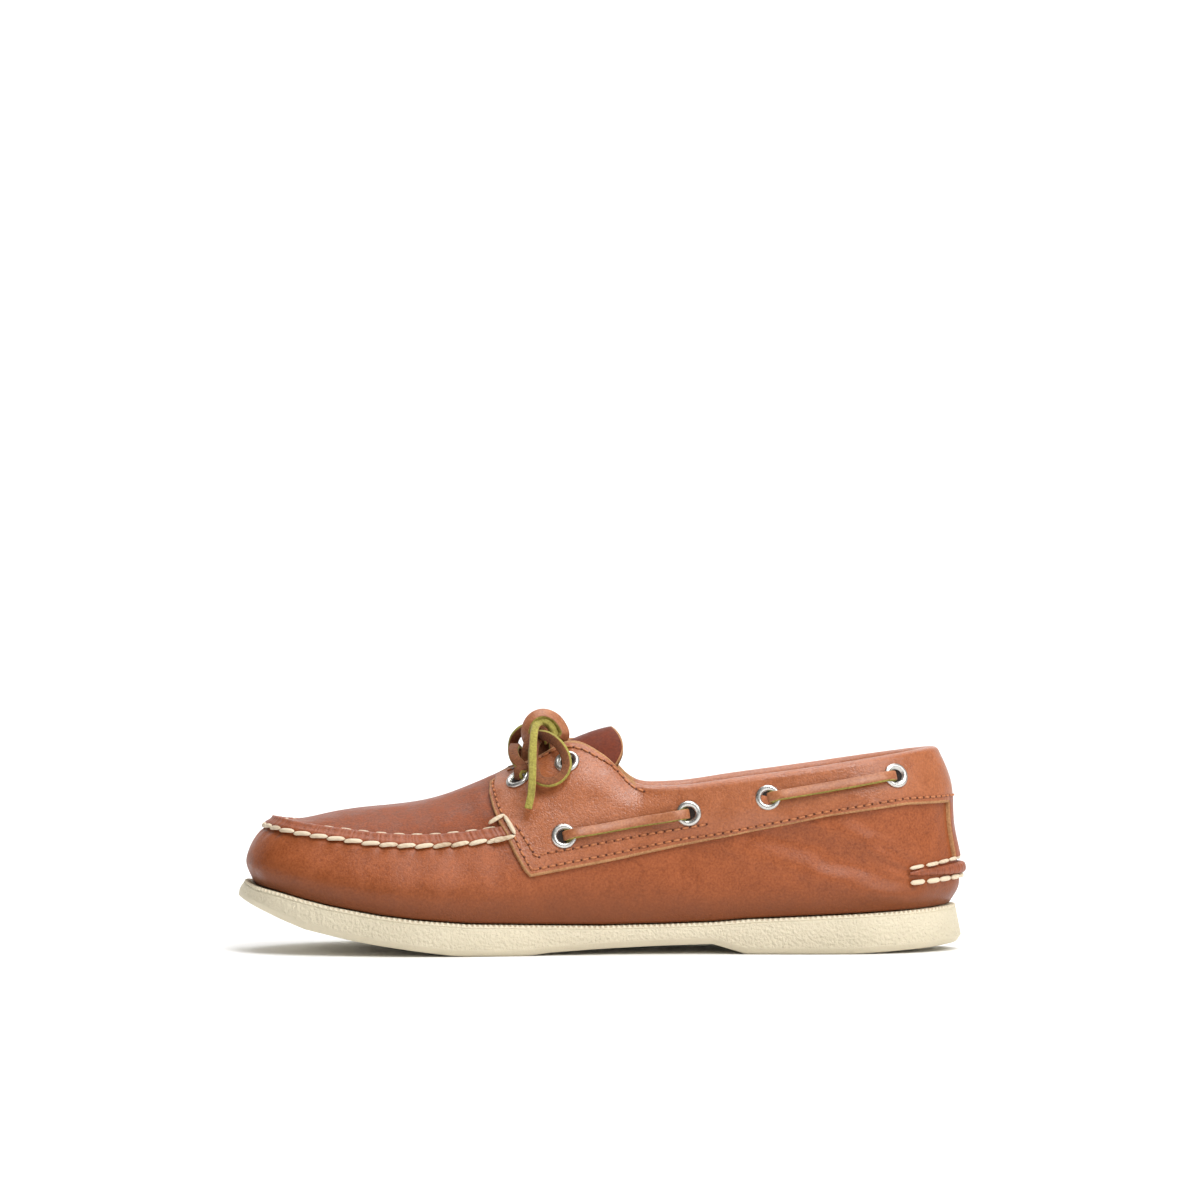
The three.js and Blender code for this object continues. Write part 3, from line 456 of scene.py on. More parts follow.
def leather(name, face_hex, dark_hex, rough=0.42, grain_mm=0.9, bump=0.12, wear=0.5, shine=0.5, painted_low_shade=False):
    """Oiled full-grain leather: two soft scales of colour, fine creases over a soft swell, a low uneven gloss.
    Its last switch adds painted shade, which darkens the hide towards the sole, by the piece's own second coordinate."""
    made, tree = new_material(name)
    place = put(tree, "TexCoord").outputs["Object"]
    broad = put(tree, "TexNoise", {"Scale": 26.0, "Detail": 3.0, "Roughness": 0.55}, Vector=place).outputs["Fac"]
    cloudy = put(tree, "TexNoise", {"Scale": 160.0, "Detail": 5.0, "Roughness": 0.65}, Vector=place).outputs["Fac"]
    speck = put(tree, "TexNoise", {"Scale": 1100.0, "Detail": 2.0}, Vector=place).outputs["Fac"]
    mottle = put(tree, "Math", {"operation": "MULTIPLY_ADD", 1: wear, 2: -wear / 2}, i0=broad).outputs[0]
    mixed = put(tree, "Math", {"operation": "MULTIPLY_ADD", 1: 1.1}, i0=cloudy, i2=mottle).outputs[0]
    grained = put(tree, "Math", {"operation": "MULTIPLY_ADD", 1: 1.6}, i0=speck, i2=mixed).outputs[0]
    centred = put(tree, "Math", {"operation": "SUBTRACT", 1: 0.85, "use_clamp": True}, i0=grained).outputs[0]
    shade = put(tree, "Mix", {"data_type": "RGBA", 6: linear(dark_hex), 7: linear(face_hex)}, i0=centred).outputs[2]
    # Painted shade: a deep brown is mixed in towards the sole, for the shade and contact shadow low on the side
    if painted_low_shade:
        strip = put(tree, "SeparateXYZ", Vector=put(tree, "UVMap").outputs[0])
        fade = put(tree, "MapRange", {"From Min": 0.02, "From Max": 0.3, "To Min": 0.75, "To Max": 0.0,
                                      "interpolation_type": "SMOOTHSTEP"}, Value=strip.outputs[1]).outputs[0]
        shade = put(tree, "Mix", {"data_type": "RGBA", 7: linear("#713a19")}, i0=fade, i6=shade).outputs[2]
    pores = put(tree, "TexVoronoi", {"Scale": 1000.0 / grain_mm, "feature": "DISTANCE_TO_EDGE"}, Vector=place)
    relief = put(tree, "Math", {"operation": "MULTIPLY_ADD", 1: 0.8}, i0=pores.outputs["Distance"], i2=speck)
    fine = put(tree, "Bump", {"Strength": bump, "Distance": 0.0003}, Height=relief.outputs[0])
    raised = put(tree, "Bump", {"Strength": 0.35, "Distance": 0.0006}, Height=cloudy, Normal=fine.outputs[0])
    gloss = put(tree, "MapRange", {"From Min": 0.35, "From Max": 0.65, "To Min": rough - 0.06, "To Max": rough + 0.1},
                Value=cloudy)
    oiled = put(tree, "BsdfPrincipled", {"IOR": 1.48, "Specular IOR Level": shine},
                Base_Color=shade, Roughness=gloss.outputs[0], Normal=raised.outputs[0])
    put(tree, "OutputMaterial", Surface=oiled.outputs[0])
    return made


# Full-grain cowhide, oiled and hand-rubbed: warm tan, a little darker in its broad clouds, with a soft low gloss
# The vamp carries painted shade, darker towards the sole
vamp_leather = leather("oiled_tan_cowhide", "#a45930", "#7c3d1b", bump=0.35, shine=0.35, painted_low_shade=True)
# The plug's hide took the dye darker and has less oil left on it: a deeper brown with hardly any gloss
plug_leather = leather("oiled_plug_cowhide", "#914720", "#683114", rough=0.46, bump=0.25, shine=0.25)
# Undyed lining hide, matt and pale, which shows inside the collar
lining_leather = leather("bare_lining_leather", "#ae7a4d", "#8f5f38", rough=0.62, bump=0.08)

# More steps close to the toe seam, at half of each rib
outer_shares = np.concatenate([
    np.linspace(0, 0.46, 40)[:-1], np.linspace(0.46, 0.55, 8)[:-1], np.linspace(0.55, 1, 42)])
roll_steps = np.linspace(1, 2, 9)[1:-1]
every_row = MASTER_ROWS[:, None]
outer_points = shell(every_row, outer_shares[None])
roll_points = shell(every_row, roll_steps[None])
inner_shares = np.linspace(1, 0, 26)
inner_end = inner_shares[None] * rim_share(every_row)
inner_points, _ = skin(every_row, inner_end, 0.0, False)
inner_normal = read_grid(master_normal, np.broadcast_to(every_row, inner_end.shape), inner_end)
inner_depth = padding(every_row, inner_end) + plug_dip(inner_points, inner_end)
inner_points = inner_points - inner_normal * inner_depth[..., None]

outer_index = numbers(outer_points)
inner_index = numbers(inner_points, outer_index.size)
roll_index = numbers(roll_points, outer_index.size + inner_index.size)
# On the ridge the ribs of both sides end in the same points, and the roll closes in one point at the throat
count = len(MASTER_ROWS)
lower_twin = np.minimum(np.arange(count), mirror)
outer_index[on_ridge, -1] = outer_index[lower_twin[on_ridge], -1]
inner_index[on_ridge, 0] = inner_index[lower_twin[on_ridge], 0]
roll_grid = np.concatenate([outer_index[:, -1:], roll_index, inner_index[:, :1]], 1)
throat_turn = THROAT_ROW * ROW_STEPS
roll_grid[throat_turn, 1:-1] = roll_index[throat_turn]
roll_grid[count - throat_turn, 1:-1] = roll_index[throat_turn]
outer_faces = cells(outer_index, True)
inner_faces = cells(inner_index, True)
roll_faces = cells(roll_grid[throat_turn:count - throat_turn + 1])
base_faces = cells(np.stack([inner_index[:, -1], outer_index[:, 0]], 1), True)
share_of_face = np.tile((outer_shares[:-1] + outer_shares[1:]) / 2, count)
row_of_face = np.repeat(half_rows, len(outer_shares) - 1)
plug_face = (share_of_face > 0.5) & (row_of_face < 8.2)  # above the seam, up to under the saddle
upper_faces = np.concatenate([outer_faces, inner_faces, roll_faces, base_faces])
upper_which = np.concatenate([plug_face.astype(int), np.full(len(inner_faces), 2),
                              np.zeros(len(roll_faces), int), np.full(len(base_faces), 2)])
upper_points = np.concatenate([outer_points.reshape(-1, 3), inner_points.reshape(-1, 3), roll_points.reshape(-1, 3)])
outer_strip, inner_strip, roll_strip = (np.broadcast_to(line, (count, len(line))) for line in
                                        (outer_shares, 1 + 0 * inner_shares, roll_steps))
upper_uv = np.concatenate([np.stack([0 * strip + 0.5, strip], -1).reshape(-1, 2)
                           for strip in (outer_strip, inner_strip, roll_strip)])
upper = add_piece("moccasin_upper", upper_points, upper_faces,
                  [vamp_leather, plug_leather, lining_leather], upper_which, upper_uv)
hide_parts("upper")

# Saddle: the overlay of the same hide over both facings, the collar and the heel, laid on the upper and sewn
# down. Its front and lower edges are cut raw, and its top edge is folded over the collar as a binding.
SADDLE_LIFT = 0.0017  # its outer face over the upper
FRONT_EDGE = np.array([  # along the length, height over the instep height
    [0.4053, 0.3625], [0.3967, 0.393], [0.383, 0.473], [0.3723, 0.553], [0.3633, 0.6], [0.3547, 0.668],
    [0.35, 0.727], [0.3483, 0.776], [0.3567, 0.806], [0.368, 0.827], [0.378, 0.842]])
LOWER_EDGE = np.array([
    [0.4053, 0.3625], [0.527, 0.44], [0.6037, 0.4966], [0.7077, 0.568], [0.8117, 0.64], [0.9167, 0.6886],
    [1.02, 0.695]])
HALF_STEPS = LAST * ROW_STEPS + 1


def side_grid(side):
    """The points of one side of the master surface, from the toe's centre to the heel's."""
    pick = np.arange(HALF_STEPS) if side < 0 else (-np.arange(HALF_STEPS)) % len(MASTER_ROWS)
    return master[pick]


def first_root(values):
    """Where each column of values first changes sign, as a row number with its fraction."""
    change = np.signbit(values[:-1]) != np.signbit(values[1:])
    low = np.argmax(change, 0)
    a, b = (np.take_along_axis(values, low[None] + i, 0)[0] for i in (0, 1))
    return np.where(change.any(0), low + a / np.where(a == b, 1, a - b), np.nan)


def share_at_height(side, rows, height_at):
    """Share of each rib where it reaches a height that is a function of x."""
    grid = side_grid(side)
    found = first_root((grid[..., 2] - height_at(grid[..., 0])).T) / SHARE_STEPS
    return np.interp(rows, np.arange(HALF_STEPS)[~np.isnan(found)] / ROW_STEPS, found[~np.isnan(found)])


def row_at_front(side, shares, edge, shift=0.0):
    """Row where the level at each share passes a front edge given as x at heights, moved back by shift."""
    grid = side_grid(side)
    line_x, line_z = (edge[:, 0] - 0.5) * LENGTH + shift, edge[:, 1] * INSTEP
    found = first_root(grid[..., 0] - np.interp(grid[..., 2], line_z, line_x)) / ROW_STEPS
    return np.interp(shares, MASTER_SHARES[~np.isnan(found)], found[~np.isnan(found)])


def lower_height(x):
    """Height of the saddle's lower edge at x."""
    return np.interp(x / LENGTH + 0.5, LOWER_EDGE[:, 0], LOWER_EDGE[:, 1]) * INSTEP


def outer_row(side, row):
    """Row number round the shoe of a row number counted from the toe on one side."""
    return row if side < 0 else TURN - row


def bare(side, row, share):
    """Points of the plain upper, without its folds, at rows counted from the toe on one side."""
    return skin(outer_row(side, row), share, 0.0, False)[0]


saddle_corner = {}
for side in (-1, 1):
    trial = np.linspace(0.1, 0.7, 601)
    trial_height = bare(side, row_at_front(side, trial, FRONT_EDGE), trial)[:, 2]
    corner_share = np.interp(FRONT_EDGE[0, 1] * INSTEP, trial_height, trial)
    saddle_corner[side] = (row_at_front(side, corner_share, FRONT_EDGE), corner_share)


def saddle_place(side, u, v):
    """Coons patch in rows and shares: u from the front edge to the heel's centre, v from the lower edge to the top."""
    row0, share0 = saddle_corner[side]
    row1 = row_at_front(side, 0.996, FRONT_EDGE)
    low_row, top_row = row0 + u * (LAST - row0), row1 + u * (LAST - row1)
    low_share = share_at_height(side, low_row, lower_height)
    low_share = low_share + (share0 - share_at_height(side, row0, lower_height)) * (1 - u)
    front_share = share0 + v * (rim_share(row1) - share0)
    front_row = row_at_front(side, front_share, FRONT_EDGE)
    row = (1 - v) * low_row + v * top_row + (1 - u) * (front_row - (1 - v) * row0 - v * row1)
    share = (1 - v) * low_share + v * rim_share(top_row)
    share = share + (1 - u) * (front_share - (1 - v) * share0 - v * rim_share(row1))
    return row, share


EDGE_STEPS = np.array([0.0, 0.0, 0.0001, 0.0003, 0.0006, 0.0011])  # metres in from a cut edge
EDGE_LIFTS = np.array([-0.0003, 0.0009, 0.00135, 0.0016, 0.0017, 0.0017]) - SADDLE_LIFT
RAW_FOLD = 6  # faces of the raw edge where the facings' top edge turns in
saddle_u = np.concatenate([np.zeros(len(EDGE_STEPS)), np.linspace(0, 1, 190)[1:]])
saddle_v = np.concatenate([np.zeros(len(EDGE_STEPS)), np.linspace(0, 1, 30)[1:]])
saddle_sides, saddle_tops = [], []
for side in (-1, 1):
    u, v = np.broadcast_arrays(saddle_u[:, None], saddle_v[None])
    probes = [(u * 0, v), (u * 0 + 0.02, v), (u, v * 0), (u, v * 0 + 0.1)]
    ends = [bare(side, *saddle_place(side, *probe)) for probe in probes]
    per_u = np.linalg.norm(ends[1] - ends[0], axis=-1) / 0.02
    per_v = np.linalg.norm(ends[3] - ends[2], axis=-1) / 0.1
    cut_u, cut_v = (np.append(EDGE_STEPS, np.full(len(line) - len(EDGE_STEPS), EDGE_STEPS[-1]))
                    for line in (saddle_u, saddle_v))
    placed_u = cut_u[:, None] / per_u + (1 - EDGE_STEPS[-1] / per_u) * u
    placed_v = cut_v[None] / per_v + (1 - EDGE_STEPS[-1] / per_v) * v
    row, share = saddle_place(side, placed_u, placed_v)
    drop_u, drop_v = (np.append(EDGE_LIFTS, np.zeros(len(line) - len(EDGE_LIFTS))) for line in (saddle_u, saddle_v))
    row = outer_row(side, row)
    flat_part, _ = skin(row, share, SADDLE_LIFT + np.minimum(drop_u[:, None], drop_v[None]))
    folded_part = shell(row[:, -1:], np.linspace(1, 2.6, 17)[None, 1:], SADDLE_LIFT)
    saddle_sides.append(np.concatenate([flat_part, folded_part], 1))
    saddle_tops.append(row[:, -1] if side < 0 else row[::-1, -1][1:])
inner_side, far_side = saddle_sides
saddle_grid = np.concatenate([inner_side, far_side[::-1][1:]])
# The same hide, handled more: lighter, more pebbled and the glossiest of the shoe
saddle_leather = leather("oiled_saddle_cowhide", "#ae653a", "#884823", rough=0.34, bump=0.5, shine=0.65)
# The bare side of a cut through the hide: paler, matt and fibrous
cut_edge = leather("raw_cut_edge", "#b98a5e", "#8f6038", rough=0.8, bump=0.4)
edge_u, edge_v = (np.arange(n - 1) for n in saddle_grid.shape[:2])
raw, fold_start = len(EDGE_STEPS) - 1, len(saddle_v) - 1
near_cut = (edge_u < raw) | (edge_u >= len(edge_u) - raw)
past_top = (edge_v >= fold_start) & (edge_v < fold_start + RAW_FOLD)
top_rows = np.concatenate(saddle_tops)
on_facing = collar(np.interp(edge_u + 0.5, np.arange(len(top_rows)), top_rows)) < 0.5
saddle_which = near_cut[:, None] | (edge_v < raw)[None] | (on_facing[:, None] & past_top[None])
saddle = add_piece("saddle_leather", saddle_grid, cells(numbers(saddle_grid))[:, ::-1], [saddle_leather, cut_edge],
                   saddle_which.astype(int).ravel(), outwards=False)
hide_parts("saddle")

# Toe seam: the vamp's edge gathered up against the plug and whipped to it by hand, which leaves a puckered ridge.
# It runs from one front edge of the saddle round the toe to the other.
def seam_share(row, away):
    """Share of a rib at a distance from the toe seam's line, in metres, positive towards the plug."""
    row, away = np.broadcast_arrays(np.asarray(row, float) % TURN, np.asarray(away, float))
    rows = np.append(MASTER_ROWS, TURN)
    low, high = (np.interp(row, rows, np.append(line, line[0])) for line in (lower_length, upper_length))
    return 0.5 + away / (2 * np.where(away < 0, low, high))


def seam_row(u, away, back=0.0):
    """Row along the seam for u from 0 at the saddle's outer front edge, round the toe, to 1 at the inner one."""
    away = np.broadcast_to(np.asarray(away, float), np.shape(u))
    ends = {}
    for side in (-1, 1):
        end = np.full(away.shape, 7.3)
        for _ in range(3):
            end = row_at_front(side, seam_share(outer_row(side, end), away), FRONT_EDGE, back)
        ends[side] = end
    return -ends[1] + u * (ends[1] + ends[-1])


def run_length(points):
    """Distance along a line of points, from its first one."""
    return np.append(0, np.cumsum(np.linalg.norm(np.diff(points, axis=0), axis=1)))


def toe_low(u):
    """How tall the ridge stands over its line: less in front of the toes."""
    return 1 - 0.42 * np.exp(-((u - 0.5) / 0.1) ** 2)


RIDGE_PROFILE = np.array([  # metres up from the seam's line, metres off the upper
    [-0.0031, -0.0003], [-0.00305, 0.0006], [-0.0027, 0.00145], [-0.002, 0.00195], [-0.001, 0.0018],
    [0.0, 0.00168], [0.001, 0.0018], [0.0018, 0.00205], [0.0024, 0.0018], [0.0028, 0.001], [0.0029, -0.0003]])
profile_away, profile_lift = RIDGE_PROFILE.T[:, None]
ridge_u = np.linspace(0, 1, 701)[:, None] + 0 * profile_away
ridge_away = profile_away * np.where(profile_away > 0, toe_low(ridge_u[:, :1]), 1)
ridge_rows = seam_row(ridge_u, ridge_away, 0.0002)
middle_rows = ridge_rows[:, len(RIDGE_PROFILE) // 2]
middle_line, _ = skin(middle_rows, seam_share(middle_rows, 0.0), 0.0, False)
ridge_run = run_length(middle_line)
puckers = round(ridge_run[-1] / (STITCH_PITCH / 2))
phase = 2 * np.pi * puckers * (ridge_run / ridge_run[-1])[:, None]
wander = 1.1 * np.sin(phase * 0.131) + 0.8 * np.sin(phase * 0.377 + 1.3)
wave = np.cos(phase + wander)
gather = 1 + 0.05 * wave - (0.1 + 0.06 * np.sin(phase * 0.29)) * np.clip(wave, 0, 1) ** 6
ridge_lift = profile_lift * np.where(profile_lift > 0, gather, 1)
toe_near = np.exp(-((ridge_u[:, :1] - 0.5) / 0.16) ** 2)
ridge_lift = ridge_lift * np.where(ridge_lift > 0, 1 + toe_near * (0.1 + 0.05 * np.sign(profile_away)), 1)
ridge_points, _ = skin(ridge_rows, seam_share(ridge_rows, ridge_away), ridge_lift, False)
# The same hide where it is squeezed and rubbed by hand: darker, redder and dull
ridge_leather = leather("gathered_edge_cowhide", "#9e5430", "#763a1e", rough=0.45, bump=0.25)
toe_ridge = add_piece("toe_seam", ridge_points, cells(numbers(ridge_points)), [ridge_leather], outwards=False)
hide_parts("toe_seam_ridge")

# Thick seam threads: waxed off-white cord, sewn by hand. The lower row lies in fat slanting stitches that tuck
# under each other, the upper row shows short ones, and each end is wrapped square round the saddle's corner.
LOWER_AWAY, UPPER_AWAY = -0.0031, 0.003  # the two rows from the seam's line


def bead(length, radius, flat=1.0, around=6, stations=7, bow=0.0):
    """Template of a stitch along X: a tube whose radius is the fourth root of 1 - s^4, bowed up in its middle."""
    s = np.linspace(-0.985, 0.985, stations)[:, None]
    angle = np.arange(around)[None] * 2 * np.pi / around
    size = radius * (1 - s ** 4) ** 0.5
    x = s * length / 2 + 0 * angle
    ring = np.stack([x, size * np.cos(angle), size * flat * np.sin(angle) + bow * (1 - s ** 2)], -1)
    points = np.concatenate([ring.reshape(-1, 3), [[-length / 2, 0, 0], [length / 2, 0, 0]]])
    index = np.arange(stations * around).reshape(stations, around)
    tips = np.full(around, stations * around)
    faces = np.concatenate([
        cells(index, closed=True),
        np.stack([tips, tips, np.roll(index[0], -1), index[0]], 1),
        np.stack([tips + 1, tips + 1, index[-1], np.roll(index[-1], -1)], 1)])
    return points, faces


def stamp(template, centre, ahead, up):
    """One copy of a template at each place, its X laid along ahead and its Z along up."""
    points, faces = template
    across = np.cross(up, ahead)
    across /= np.linalg.norm(across, axis=-1, keepdims=True)
    ahead = np.cross(across, up)
    frames = np.stack([ahead, across, up], 1)
    placed = centre[:, None] + np.einsum("pk,nkj->npj", points, frames)
    return placed.reshape(-1, 3), (faces[None] + np.arange(len(centre))[:, None, None] * len(points)).reshape(-1, 4)


def joined(parts):
    """Several sets of points and faces as one."""
    sizes = np.cumsum([0] + [len(p) for p, _ in parts[:-1]])
    return np.concatenate([p for p, _ in parts]), np.concatenate([f + n for (_, f), n in zip(parts, sizes)])


def even_stops(rows, shares, pitch, lift):
    """Stops at equal distances along a line of rows and shares: their points, directions and normals."""
    line, normal = skin(rows, shares, lift)
    run = run_length(line)
    count = max(int(round(run[-1] / pitch)), 1)
    at = (np.arange(count) + 0.5) * run[-1] / count
    spot, way = (np.stack([np.interp(at, run, a[:, k]) for k in range(3)], 1) for a in (line, normal))
    step = np.stack([np.interp(at + 0.0004, run, line[:, k]) - np.interp(at - 0.0004, run, line[:, k])
                     for k in range(3)], 1)
    return spot, step / np.linalg.norm(step, axis=1, keepdims=True), way / np.linalg.norm(way, axis=1, keepdims=True)


def thread(name, face_hex, dark_hex, twist_mm, twist=0.25):
    """Twisted waxed thread: bands of strands run slanting round it, with painted shade in the grooves between them."""
    made, tree = new_material(name)
    place = put(tree, "TexCoord").outputs["Object"]
    strands = put(tree, "TexWave", {"Scale": 1000.0 / twist_mm / 6.28, "Distortion": 2.0, "Detail": 2.0,
                                    "bands_direction": "DIAGONAL"}, Vector=place).outputs["Fac"]
    dirt = put(tree, "TexNoise", {"Scale": 90.0, "Detail": 3.0}, Vector=place).outputs["Fac"]
    # Painted shade: the bands that raise the strands also darken the grooves between them
    mixed = put(tree, "Math", {"operation": "MULTIPLY_ADD", 1: twist}, i0=strands, i2=dirt).outputs[0]
    shade = put(tree, "MapRange", {"From Min": 0.3, "From Max": 0.45 + twist}, Value=mixed).outputs[0]
    colour = put(tree, "Mix", {"data_type": "RGBA", 6: linear(dark_hex), 7: linear(face_hex)}, i0=shade)
    raised = put(tree, "Bump", {"Strength": twist, "Distance": 0.0002}, Height=strands)
    waxed = put(tree, "BsdfPrincipled", {"Roughness": 0.6, "IOR": 1.5}, Base_Color=colour.outputs[2],
                Normal=raised.outputs[0])
    put(tree, "OutputMaterial", Surface=waxed.outputs[0])
    return made


# Waxed off-white cord of three strands, a little soiled in soft blotches, with painted shade in its grooves
seam_thread = thread("waxed_offwhite_cord", "#d9c8ad", "#b39a7b", 0.8, 0.1)

seam_u = np.linspace(0.004, 0.996, 900)
lower_rows = seam_row(seam_u, LOWER_AWAY)
spot, ahead, up = even_stops(lower_rows, seam_share(lower_rows, LOWER_AWAY), STITCH_PITCH, 0.0009)
turn_side = np.where(spot[:, 1:2] < 0, 1.0, -1.0)
lean = ahead + np.cross(up, ahead) * 0.09 * turn_side
fat_stitches = stamp(bead(0.0078, 0.00096, 0.85, 10, 13, 0.0004), spot, lean, up - ahead * 0.1 * turn_side)
upper_away = UPPER_AWAY * toe_low(seam_u)
upper_rows = seam_row(seam_u, upper_away)
spot, ahead, up = even_stops(upper_rows, seam_share(upper_rows, upper_away), STITCH_PITCH, 0.0007)
thin_stitches = stamp(bead(0.0054, 0.00055, 0.9, 6, 7, 0.0002), spot, ahead, up)


def side_place(x, z, side):
    """Row and share of the points of one side of the upper that show at x and z in the side view, by Newton steps."""
    grid = side_grid(side)
    tree_of_points = kdtree.KDTree(grid.shape[0] * grid.shape[1])
    for number, (px, _, pz) in enumerate(grid.reshape(-1, 3)):
        tree_of_points.insert((px, 0, pz), number)
    tree_of_points.balance()
    nearest = np.array([tree_of_points.find((a, 0, b))[1] for a, b in zip(x, z)])
    row, share = nearest // grid.shape[1] / ROW_STEPS, nearest % grid.shape[1] / SHARE_STEPS
    for _ in range(4):
        here = read_grid(master, outer_row(side, row), share)
        by_row = (read_grid(master, outer_row(side, row + 0.1), share) - here) / 0.1
        by_share = (read_grid(master, outer_row(side, row), share + 0.01) - here) / 0.01
        off_x, off_z = x - here[:, 0], z - here[:, 2]
        det = by_row[:, 0] * by_share[:, 2] - by_row[:, 2] * by_share[:, 0]
        row = row + np.clip((off_x * by_share[:, 2] - off_z * by_share[:, 0]) / det, -0.4, 0.4)
        share = np.clip(share + np.clip((off_z * by_row[:, 0] - off_x * by_row[:, 2]) / det, -0.05, 0.05), 0, 0.995)
    return outer_row(side, row), share


def side_line(corners, side, count=200):
    """A line through corners given as x and z in mm in the side view, as rows and shares."""
    corners = np.array(corners) / 1000
    run = run_length(corners)
    at = np.linspace(0, run[-1], count)
    return side_place(np.interp(at, run, corners[:, 0]), np.interp(at, run, corners[:, 1]), side)


WRAPS = [  # ends in the side view in mm, height over the upper in metres
    ([(-44.6, 52.4), (-39.2, 55.4)], 0.0021), ([(-38.4, 55.0), (-34.9, 49.0)], 0.0025),
    ([(-35.0, 47.7), (-42.6, 45.5)], 0.0021)]
WRAP_STEPS = 40
wraps = []
for side in (-1, 1):
    for corners, lift in WRAPS:
        rows, shares = side_line(corners, side, WRAP_STEPS)
        line, normal = skin(rows, shares, lift)
        ahead = (line[-1] - line[0])[None]
        long = float(np.linalg.norm(ahead))
        centre, up = line[WRAP_STEPS // 2], normal[WRAP_STEPS // 2]
        wraps.append(stamp(bead(long + 0.0016, 0.00095, 0.85, 8, 9, 0.0003), centre[None],
                           ahead / long, up[None] / np.linalg.norm(up)))
add_piece("toe_seam_threads", *joined([fat_stitches, thin_stitches, *wraps]), [seam_thread])

# Heel seam: a low ridge of gathered leather round the back of the heel, with two rows of the same thick thread,
# and above it the strip that covers the centre back seam up to the saddle.
# along the length, lower and upper edge over the instep height
HEEL_RIDGE = np.array([[0.92, 0.366, 0.374], [0.935, 0.358, 0.39], [1.03, 0.357, 0.427]])
HEEL_STITCHES = [  # x and z at the front end, z at the back of the heel, radius of the thread, in metres
    (0.1259, 0.0346, 0.0382, 0.0008), (0.1259, 0.0287, 0.0306, 0.00105)]


def ridge_height(edge):
    """Height of the heel ridge's lower (1) or upper (2) edge at x."""
    return lambda x: np.interp(x / LENGTH + 0.5, HEEL_RIDGE[:, 0], HEEL_RIDGE[:, edge]) * INSTEP


def row_at_x(side, x):
    """Row whose rib passes x at the level of the heel seam, a third up the rib."""
    return row_at_front(side, 0.33, np.array([[x / LENGTH + 0.5, 0.0], [x / LENGTH + 0.5001, 1.0]]))


heel_rows = np.linspace(0, 1, 181)
across = np.array([0.0, 0.0, 0.08, 0.22, 0.4, 0.6, 0.78, 0.92, 1.0, 1.0])
rise = np.array([-0.0003, 0.0006, 0.0013, 0.0017, 0.0018, 0.0018, 0.0017, 0.0013, 0.0006, -0.0003])
heel_sides = []
for side in (-1, 1):
    start = row_at_x(side, (HEEL_RIDGE[0, 0] - 0.5) * LENGTH)
    rows = start + heel_rows * (LAST - start)
    low, high = (share_at_height(side, rows, ridge_height(edge)) for edge in (1, 2))
    high = np.maximum(high, low + 0.012)
    shares = low[:, None] + across[None] * (high - low)[:, None]
    taper = np.clip(heel_rows / 0.12, 0.25, 1) ** 0.5
    nicks = 1 - 0.2 * np.clip(np.cos(heel_rows * 2 * np.pi * 11), 0, 1) ** 12
    proud = (taper * nicks * (1 + 0.75 * heel_rows ** 1.5))[:, None]
    heel_sides.append(skin(outer_row(side, rows)[:, None], shares, rise * np.where(rise > 0, proud, 1), False)[0])
heel_grid = np.concatenate([heel_sides[0], heel_sides[1][::-1][1:]])
heel_ridge = add_piece("heel_seam", heel_grid, cells(numbers(heel_grid))[:, ::-1], [ridge_leather], outwards=False)
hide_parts("heel_seam_ridge")

heel_stitches = []
for side in (-1, 1):
    for start_x, start_z, end_z, radius in HEEL_STITCHES:
        start, slope = row_at_x(side, start_x), (end_z - start_z) / (0.148 - start_x)
        rows = start + np.linspace(0, 1, 120) * (LAST - start)
        shares = share_at_height(side, rows, lambda x: start_z + slope * (x - start_x))
        spot, ahead, up = even_stops(outer_row(side, rows), shares, STITCH_PITCH, 0.0007)
        heel_stitches.append(stamp(bead(0.0071, radius, 0.9, 8, 11, 0.0004), spot, ahead, up))
add_piece("heel_seam_threads", *joined(heel_stitches), [seam_thread])

STRIP_HALF_WIDTH, STRIP_FOOT, STRIP_TOP = 0.0091, 0.0386, 0.0635
half_u, half_rise = np.array([1, 1, 0.99, 0.96, 0.9]), np.array([-0.0003, 0.0009, 0.0014, 0.0017, 0.0018])
strip_u = np.concatenate([-half_u, np.linspace(-0.8, 0.8, 17), half_u[::-1]]) * STRIP_HALF_WIDTH
strip_rise = np.concatenate([half_rise, np.full(17, half_rise[-1]), half_rise[::-1]])
strip_shares = np.linspace(0, 1, 16)
low, high = (share_at_height(-1, LAST, lambda x: 0 * x + z) for z in (STRIP_FOOT, STRIP_TOP))
heel_level = read_grid(master, np.array([LAST - 1.0, LAST + 1.0]), np.array([0.55, 0.55]))
rows_per_metre = 2 / (heel_level[1, 1] - heel_level[0, 1])
strip_points, _ = skin(LAST + strip_u[:, None] * rows_per_metre, (low + strip_shares * (high - low))[None],
                       strip_rise[:, None], False)
strip_edge = np.arange(len(strip_u) - 1)
strip_edge = (strip_edge < 3) | (strip_edge > len(strip_u) - 5)
back_strip = add_piece("back_strip_leather", strip_points, cells(numbers(strip_points))[:, ::-1],
                       [ridge_leather, cut_edge], np.repeat(strip_edge.astype(int), len(strip_shares) - 1),
                       outwards=False)
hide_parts("back_strip")

# Saddle stitching: brown thread in needle holes, in two rows along the front and lower edges and one row along
# the facing, 3.5 mm from hole to hole.
FINE_PITCH, EDGE_AWAY, FACING_AWAY = 0.0035, 0.0028, 0.0031
# Waxed brown thread, a shade lighter than the hide, so that the rows read as fine dashes
fine_thread = thread("waxed_brown_thread", "#b97346", "#8c4d2a", 0.7)
# The dark inside of a needle hole, a small dot between two stitches
hole_dark = even_material("needle_hole_shade", "#582d18", 0.9)


